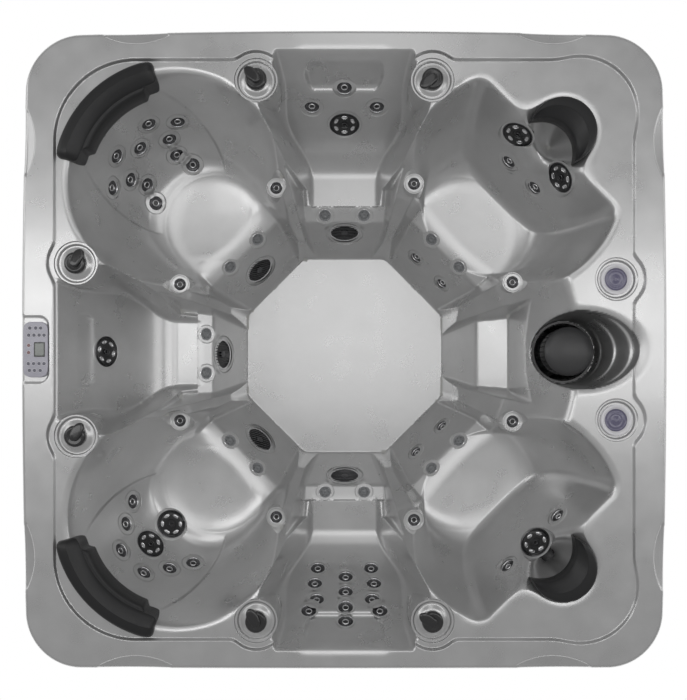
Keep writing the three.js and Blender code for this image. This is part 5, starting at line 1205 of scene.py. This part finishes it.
def makePillows():
    deck = tub["height"] - levels["deck"]
    shares = smoothLoop([(0.01, -0.55), (0, -0.1), (0.02, 0.45), (0.07, 0.78), (0.17, 0.93), (0.36, 1),
                         (0.4, 0.985), (0.56, 0.76), (0.7, 0.5), (0.755, 0.34), (0.79, 0.2),
                         (0.87, 0.16), (0.96, -0.12), (1.0, -0.5), (0.94, -0.95), (0.5, -0.95)], 72)
    for corner, name in (("northWest", "pillow_northwest"), ("southWest", "pillow_southwest")):
        seat = seats[corner]
        t = spread(pillow["steps"])
        angle = pillow["halfAngle"] * (2 * t - 1)
        apron = ease(pillow["apronAngle"] + 1.5, pillow["apronAngle"] - 1.5, np.abs(angle))
        full = endShare(t, 20)[:, None]
        past = np.maximum(shares[:, 0] - pillow["bandShare"], 0) * apron[:, None]
        across = np.minimum(shares[:, 0], pillow["bandShare"]) + past
        narrowed = 0.4 + (across - 0.4) * (0.4 + 0.6 * full)
        radius = pillow["outer"] + (pillow["inner"] - pillow["outer"]) * narrowed
        rise = shares[:, 1] * np.where(shares[:, 1] > 0, pillow["crown"] * full, pillow["depth"])
        a = np.radians(angle)[:, None]
        u, v = cornerSeat["reach"] + radius * np.cos(a), radius * np.sin(a)
        cushion(f"{name}_cushion", name, np.stack([*planPlace(seat, u, v), deck + rise], axis=2))
    shares = smoothLoop([(0.0, -0.6), (0, 0.0), (0.02, 0.5), (0.08, 0.84), (0.2, 0.95), (0.44, 1),
                         (0.48, 0.98), (0.66, 0.66), (0.84, 0.32), (0.96, -0.02), (1.0, -0.4),
                         (0.9, -0.9), (0.45, -1)], 60)
    for corner, name in (("northEast", "pillow_northeast"), ("southEast", "pillow_southeast")):
        seat = seats[corner]
        t = spread(crescent["steps"])
        swing = 2 * t - 1
        outer, inner = np.radians(crescent["outerAngle"] * swing), np.radians(crescent["innerAngle"] * swing)
        rim = neckHollow["radius"] - 1.5
        a = np.stack([neckHollow["reach"] + rim * np.cos(outer), rim * np.sin(outer)], axis=1)
        b = np.stack([crescent["innerReach"] + crescent["innerRadius"] * np.cos(inner),
                      crescent["innerRadius"] * np.sin(inner)], axis=1)
        width = np.linalg.norm(a - b, axis=1)[:, None]
        full = endShare(t, 10)[:, None]
        widened = np.maximum(1, crescent["tip"] / width)[:, None]
        share = shares[None, :, :1] * widened * (0.3 + 0.7 * full)[:, None]
        spot = a[:, None] + (b - a)[:, None] * share
        rise = np.where(shares[:, 1] > 0, crescent["crown"], crescent["depth"]) * shares[:, 1] * full
        u, v = spot[..., 0], spot[..., 1]
        cushion(f"{name}_cushion", name, np.stack([*planPlace(seat, u, v), deck + rise], axis=2))


makePillows()
print("pillows")


# Filter: a ribbed basket in the well's shelf and, on its own body, a domed lid, a float ring and a cartridge
strainer = dict(x=849, lidRadius=93, lidLevel=716, ribs=24, staves=28, ribCircle=108.6, staveCircle=87.2,
                pleats=72, fold=69, foldDepth=7)


def makeFilter():
    floor, shelf = levelsOf("filter_canister")
    centre, upright = np.array([[strainer["x"], 0, 0.0]]), np.eye(3)[None]
    outside = [(0, floor), (108, floor), (113, floor + 5), (114, shelf - 5), (120.5, shelf - 4),
               (121, shelf - 1), (120, shelf), (112, shelf), (110.5, shelf - 1.5),
               (110, shelf - 8), (109, floor + 8), (105, floor + 4), (0, floor + 4)]
    addMesh("filter_basket", *turned(outside, 72, centre, upright), blackPlastic, "filter_canister", "black")
    ribs = []
    for k in range(strainer["ribs"]):
        a = 2 * math.pi * k / strainer["ribs"]
        x, y = strainer["x"] + strainer["ribCircle"] * math.cos(a), strainer["ribCircle"] * math.sin(a)
        ribs.append(swept([(x, y, floor + 12), (x, y, floor + 14), (x, y, shelf - 12), (x, y, shelf - 9)],
                          circle(2.2, 8)))
    for level in np.linspace(floor + 40, shelf - 26, 7):
        ribs.append(turned([(107.4, -1.6), (109.6, -1.6), (109.6, 1.6), (107.4, 1.6)], 48,
                           centre + [0, 0, level], upright, loop=True))
    addMesh("filter_basket_ribs", *joined(*ribs), cabinetTrim, "filter_canister", "black")
    # lid: a domed disc with a rolled edge, over a sleeve of bands and staves on a middle post
    level, radius = strainer["lidLevel"], strainer["lidRadius"]
    r = np.linspace(0, 1, 14)[1:]
    dome = [(radius * share - 3.0 * share, level + 8 + 14 * math.sqrt(max(1 - share ** 2, 0)) - 1.5
             * share) for share in r[:-1]]
    lidProfile = [(0, level), (radius - 5, level), (radius - 1, level + 1), (radius, level + 3),
                  (radius - 0.6, level + 6.4), (radius - 2.4, level + 8)] + dome[::-1] + [(0, level + 22)]
    addMesh("filter_lid_dome", *turned(lidProfile, 96, centre, upright), lidPlastic, "filter_lid", "grey",
            body="filter_element", smooth=50)
    sleeve = [(84, -96), (86, -96), (86.6, -4), (86.6, 1), (83.6, 1), (83, -92)]
    post = [(0, -125.5), (16, -125.5), (16, 1), (0, 1)]
    bands = [turned([(86, -2.5), (88.6, -2), (88.6, 2), (86, 2.5)], 72, centre + [0, 0, level - drop],
                    upright, loop=True) for drop in (14, 34, 54, 74, 92)]
    staves = []
    for k in range(strainer["staves"]):
        a = 2 * math.pi * k / strainer["staves"]
        x, y = strainer["x"] + strainer["staveCircle"] * math.cos(a), strainer["staveCircle"] * math.sin(a)
        staves.append(swept([(x, y, level - 95), (x, y, level - 94), (x, y, level - 3), (x, y, level - 2)],
                            circle(1.8, 6)))
    addMesh("filter_lid_sleeve", *joined(turned(sleeve, 72, centre + [0, 0, level], upright, loop=True),
                                         turned(post, 20, centre + [0, 0, level], upright), *bands, *staves),
            blackPlastic, "filter_lid", "grey", body="filter_element")
    bottom, top = levelsOf("filter_cartridge")
    pleats = strainer["pleats"]
    a = 2 * math.pi * np.arange(pleats * 4) / (pleats * 4)
    fold = strainer["fold"] + strainer["foldDepth"] * (0.5 + 0.5 * np.cos(pleats * a))
    rings = []
    for z in np.linspace(bottom + 14, top - 14, 9):
        rings.append(np.stack([strainer["x"] + fold * np.cos(a), fold * np.sin(a), 0 * a + z], axis=1))
    points = np.concatenate([np.concatenate(rings),
                             [[strainer["x"], 0, bottom + 14], [strainer["x"], 0, top - 14]]])
    addMesh("filter_cartridge_pleats", points, tubeFaces(len(rings), len(a)), pleatCloth, "filter_cartridge",
            "cartridge", body="filter_element", smooth=70)
    cap = [(0, 0), (74, 0), (77.4, 2), (78, 6), (78, 14), (76, 16), (0, 16)]
    addMesh("filter_cartridge_caps", *joined(turned(cap, 64, centre + [0, 0, bottom], upright),
                                             turned([(r, 16 - h) for r, h in cap], 64,
                                                    centre + [0, 0, top - 16], upright)),
            lidPlastic, "filter_cartridge", "grey", body="filter_element")


makeFilter()
print("filter")


# Cabinet: four panels of boards with a gap under each, a rounded post at every corner and a plinth
cabinet = dict(halfX=1108, halfY=1095, radius=170, wall=18, split=2, boards=8, joint=5, groove=6, plinth=52,
               postHeights=[72.5, 74, 790, 868, 873, 874.5],
               sides=dict(right=0, back=90, left=180, front=270))


def panelPath(halfAcross, halfAlong, inset):
    # a straight side and then a quarter turn at its end, moved inward by the inset along the outward normal
    r = cabinet["radius"]
    straight = np.linspace(-halfAlong + r + cabinet["split"], halfAlong - r, 40)
    bend = np.linspace(0, math.pi / 2, 25)[1:]
    x = np.concatenate([0 * straight + halfAcross, halfAcross - r + r * np.cos(bend)])
    y = np.concatenate([straight, halfAlong - r + r * np.sin(bend)])
    way = np.concatenate([0 * straight, bend])
    return np.stack([x - inset * np.cos(way), y - inset * np.sin(way)], axis=1)


# (inset, height) up the outside: each board is slightly round, with a groove above it
def boardProfile(bottom, top):
    height = (top - bottom) / cabinet["boards"]
    profile = []
    for k in range(cabinet["boards"]):
        low, high = bottom + k * height, bottom + (k + 1) * height
        profile += [(2.2, low), (0.6, low + 1.6), (0, low + 6), (0, high - cabinet["joint"] - 6),
                    (0.6, high - cabinet["joint"] - 1.6), (2.2, high - cabinet["joint"])]
        if k < cabinet["boards"] - 1:
            profile += [(cabinet["groove"], high - cabinet["joint"] + 0.6), (cabinet["groove"], high - 0.6)]
    return profile


# profile outside, flat inside, closed at both ends
def closedBand(profile, bottom, top, halfAcross, halfAlong, angle):
    loop = profile + [(cabinet["wall"], top), (cabinet["wall"], bottom)]
    rows = [np.column_stack([panelPath(halfAcross, halfAlong, way), np.full(64, height)]) for way,
            height in loop]
    grid = np.stack(rows, axis=1)
    points = grid.reshape(-1, 3) @ spinBy(math.radians(angle)).T
    count = len(loop)
    ends = [np.arange(count)[None], (63 * count + np.arange(count))[::-1][None]]
    return points, [gridFaces(64, count, roundColumns=True), *ends]


def makeCabinet():
    for name, angle in cabinet["sides"].items():
        node = f"cabinet_panel_{name}"
        bottom, top = levelsOf(node)
        halves = (cabinet["halfY"], cabinet["halfX"]) if angle % 180 else (cabinet["halfX"], cabinet["halfY"])
        foot, head = bottom + cabinet["plinth"], top - 4
        boarding = closedBand(boardProfile(foot, head), foot, head, *halves, angle)
        addMesh(f"{node}_boards", *boarding, cabinetBoard, node, "cabinet", smooth=50)
        plinth = [(1.2, bottom), (0, bottom + 1.5), (0, bottom + 46), (1.5, bottom + 49.5),
                  (4, bottom + 51.6)]
        band = closedBand(plinth, bottom, bottom + 51.6, *halves, angle)
        addMesh(f"{node}_plinth", *band, cabinetTrim, node, "cabinet", smooth=50)
    posts = []
    for sideX, sideY in ((1, 1), (-1, 1), (-1, -1), (1, -1)):
        a = np.linspace(0.06, math.pi / 2 - 0.06, 18)
        r, inner = cabinet["radius"] + 0.1, cabinet["radius"] - 4
        edge = np.minimum(1, np.minimum(a - 0.06, math.pi / 2 - 0.06 - a) * 30 + 0.35)
        outer = np.stack([r * np.cos(a), r * np.sin(a)],
                         axis=1) - (1 - edge[:, None]) * 1.2 * np.stack([np.cos(a), np.sin(a)], axis=1)
        inside = np.stack([inner * np.cos(a), inner * np.sin(a)], axis=1)[::-1]
        loop = np.concatenate([outer, inside]) + [cabinet["halfX"] - cabinet["radius"],
                                                  cabinet["halfY"] - cabinet["radius"]]
        loop = loop * [sideX, sideY]
        if sideX * sideY < 0:
            loop = loop[::-1]
        heights = cabinet["postHeights"]
        rings = np.concatenate([np.column_stack([loop, np.full(len(loop), z)]) for z in heights])
        count = len(loop)
        ends = [np.arange(count)[::-1][None], ((len(heights) - 1) * count + np.arange(count))[None]]
        posts.append((rings, [gridFaces(len(heights), count, roundColumns=True), *ends]))
    addMesh("cabinet_corner_posts", *joined(*posts), cabinetTrim,
            [f"cabinet_panel_{name}" for name in cabinet["sides"]], "cabinet", smooth=40)


makeCabinet()
print("cabinet")


# Nodes that keep their own shape get a finish to match
finishes = dict(base_tray=cabinetTrim, support_frame=frameSteel, jet_pump_1=pumpPaint, jet_pump_2=pumpPaint,
                air_blower=pipePlastic, heater_pack=pumpPaint)
for name, material in finishes.items():
    mesh = frame["nodes"][name].data
    mesh.materials.clear()
    mesh.materials.append(material)


# Floor, camera and light
studio = dict(cameraZ=4.130, cameraX=0.0062, cameraY=-0.1083, lens=46.3, shiftX=-0.0036, shiftY=0.0429)

# each lamp's place, what it looks at, its width, height and power
lamps = dict(
    overheadLamp=((-0.05, 0.55, 6.2), (-0.05, 0.55, 0), 1.9, 1.4, 9.5),
    backLamp=((0.3, 3.1, 6.2), (0.3, 3.1, 0), 7.4, 1.6, 23),
    leftTopLamp=((-3.3, 0.6, 6.2), (-3.3, 0.6, 0), 1.4, 4.0, 34),
    rightTopLamp=((3.3, 0.4, 6.2), (3.3, 0.4, 0), 1.4, 4.0, 28),
    leftLamp=((-5.2, 1.6, 3.2), (0, 0, 0.6), 2.6, 2.6, 24),
    rightLamp=((5.2, 0.4, 3.0), (0, 0, 0.6), 2.6, 2.6, 20))


def makeFloor():
    size, count = 60, 61
    x, y = np.meshgrid(np.linspace(-size, size, count) * 1000, np.linspace(-size, size, count) * 1000)
    points = np.stack([x, y, 0 * x - 1], axis=2)
    mesh = bpy.data.meshes.new("studio_floor")
    mesh.from_pydata((points.reshape(-1, 3) / 1000).tolist(), [], gridFaces(count, count).tolist())
    material = newMaterial("studioFloor", (0.86, 0.86, 0.86), Roughness=0.9)
    tree = material.node_tree
    rays = tree.nodes.new("ShaderNodeLightPath")
    glow = tree.nodes.new("ShaderNodeEmission")
    glow.inputs["Strength"].default_value = 1.0
    share = tree.nodes.new("ShaderNodeMixShader")
    seen = rays.outputs["Is Camera Ray"]
    # metal and clear plastic show the same floor as the camera
    for kind in ("Is Glossy Ray", "Is Transmission Ray"):
        either = tree.nodes.new("ShaderNodeMath")
        either.operation = "MAXIMUM"
        tree.links.new(seen, either.inputs[0])
        tree.links.new(rays.outputs[kind], either.inputs[1])
        seen = either.outputs[0]
    tree.links.new(seen, share.inputs["Fac"])
    tree.links.new(tree.nodes["Principled BSDF"].outputs["BSDF"], share.inputs[1])
    tree.links.new(glow.outputs["Emission"], share.inputs[2])
    tree.links.new(share.outputs["Shader"], tree.nodes["Material Output"].inputs["Surface"])
    mesh.materials.append(material)
    floor = bpy.data.objects.new("studio_floor", mesh)
    bpy.context.scene.collection.objects.link(floor)


def makeLamp(name, spot, aim, width, height, power):  # an area lamp that looks from spot to aim
    lamp = bpy.data.lights.new(name, "AREA")
    lamp.shape, lamp.size, lamp.size_y, lamp.energy = "RECTANGLE", width, height, power
    holder = bpy.data.objects.new(name, lamp)
    bpy.context.scene.collection.objects.link(holder)
    holder.location = spot
    back = np.array(spot, float) - np.array(aim, float)
    holder.rotation_euler = (math.acos(back[2] / np.linalg.norm(back)), 0,
                             math.atan2(back[1], back[0]) + math.pi / 2)


def makeStudio():
    camera = bpy.data.cameras.new("photoCamera")
    camera.lens, camera.sensor_width, camera.sensor_fit = studio["lens"], 36, "AUTO"
    camera.shift_x, camera.shift_y = studio["shiftX"], studio["shiftY"]
    camera.clip_end = 200
    holder = bpy.data.objects.new("photoCamera", camera)
    bpy.context.scene.collection.objects.link(holder)
    holder.location = (studio["cameraX"], studio["cameraY"], studio["cameraZ"])
    bpy.context.scene.camera = holder
    world = bpy.data.worlds.new("studioWorld")
    bpy.context.scene.world = world
    world.use_nodes = True
    sky = world.node_tree.nodes["Background"]
    sky.inputs["Color"].default_value = (1, 1, 1, 1)
    tree = world.node_tree  # a plain sky that is lighter overhead than at the horizon
    split = tree.nodes.new("ShaderNodeSeparateXYZ")
    tree.links.new(tree.nodes.new("ShaderNodeTexCoord").outputs["Generated"], split.inputs[0])
    tree.links.new(rangeNode(tree, split.outputs["Z"], 0.25, 0.95, 0.3, 0.34), sky.inputs["Strength"])
    for name, (spot, aim, width, height, power) in lamps.items():
        makeLamp(name, spot, aim, width, height, power)
    bpy.context.scene.view_settings.view_transform = "Standard"


makeFloor()
makeStudio()
print("studio ready")
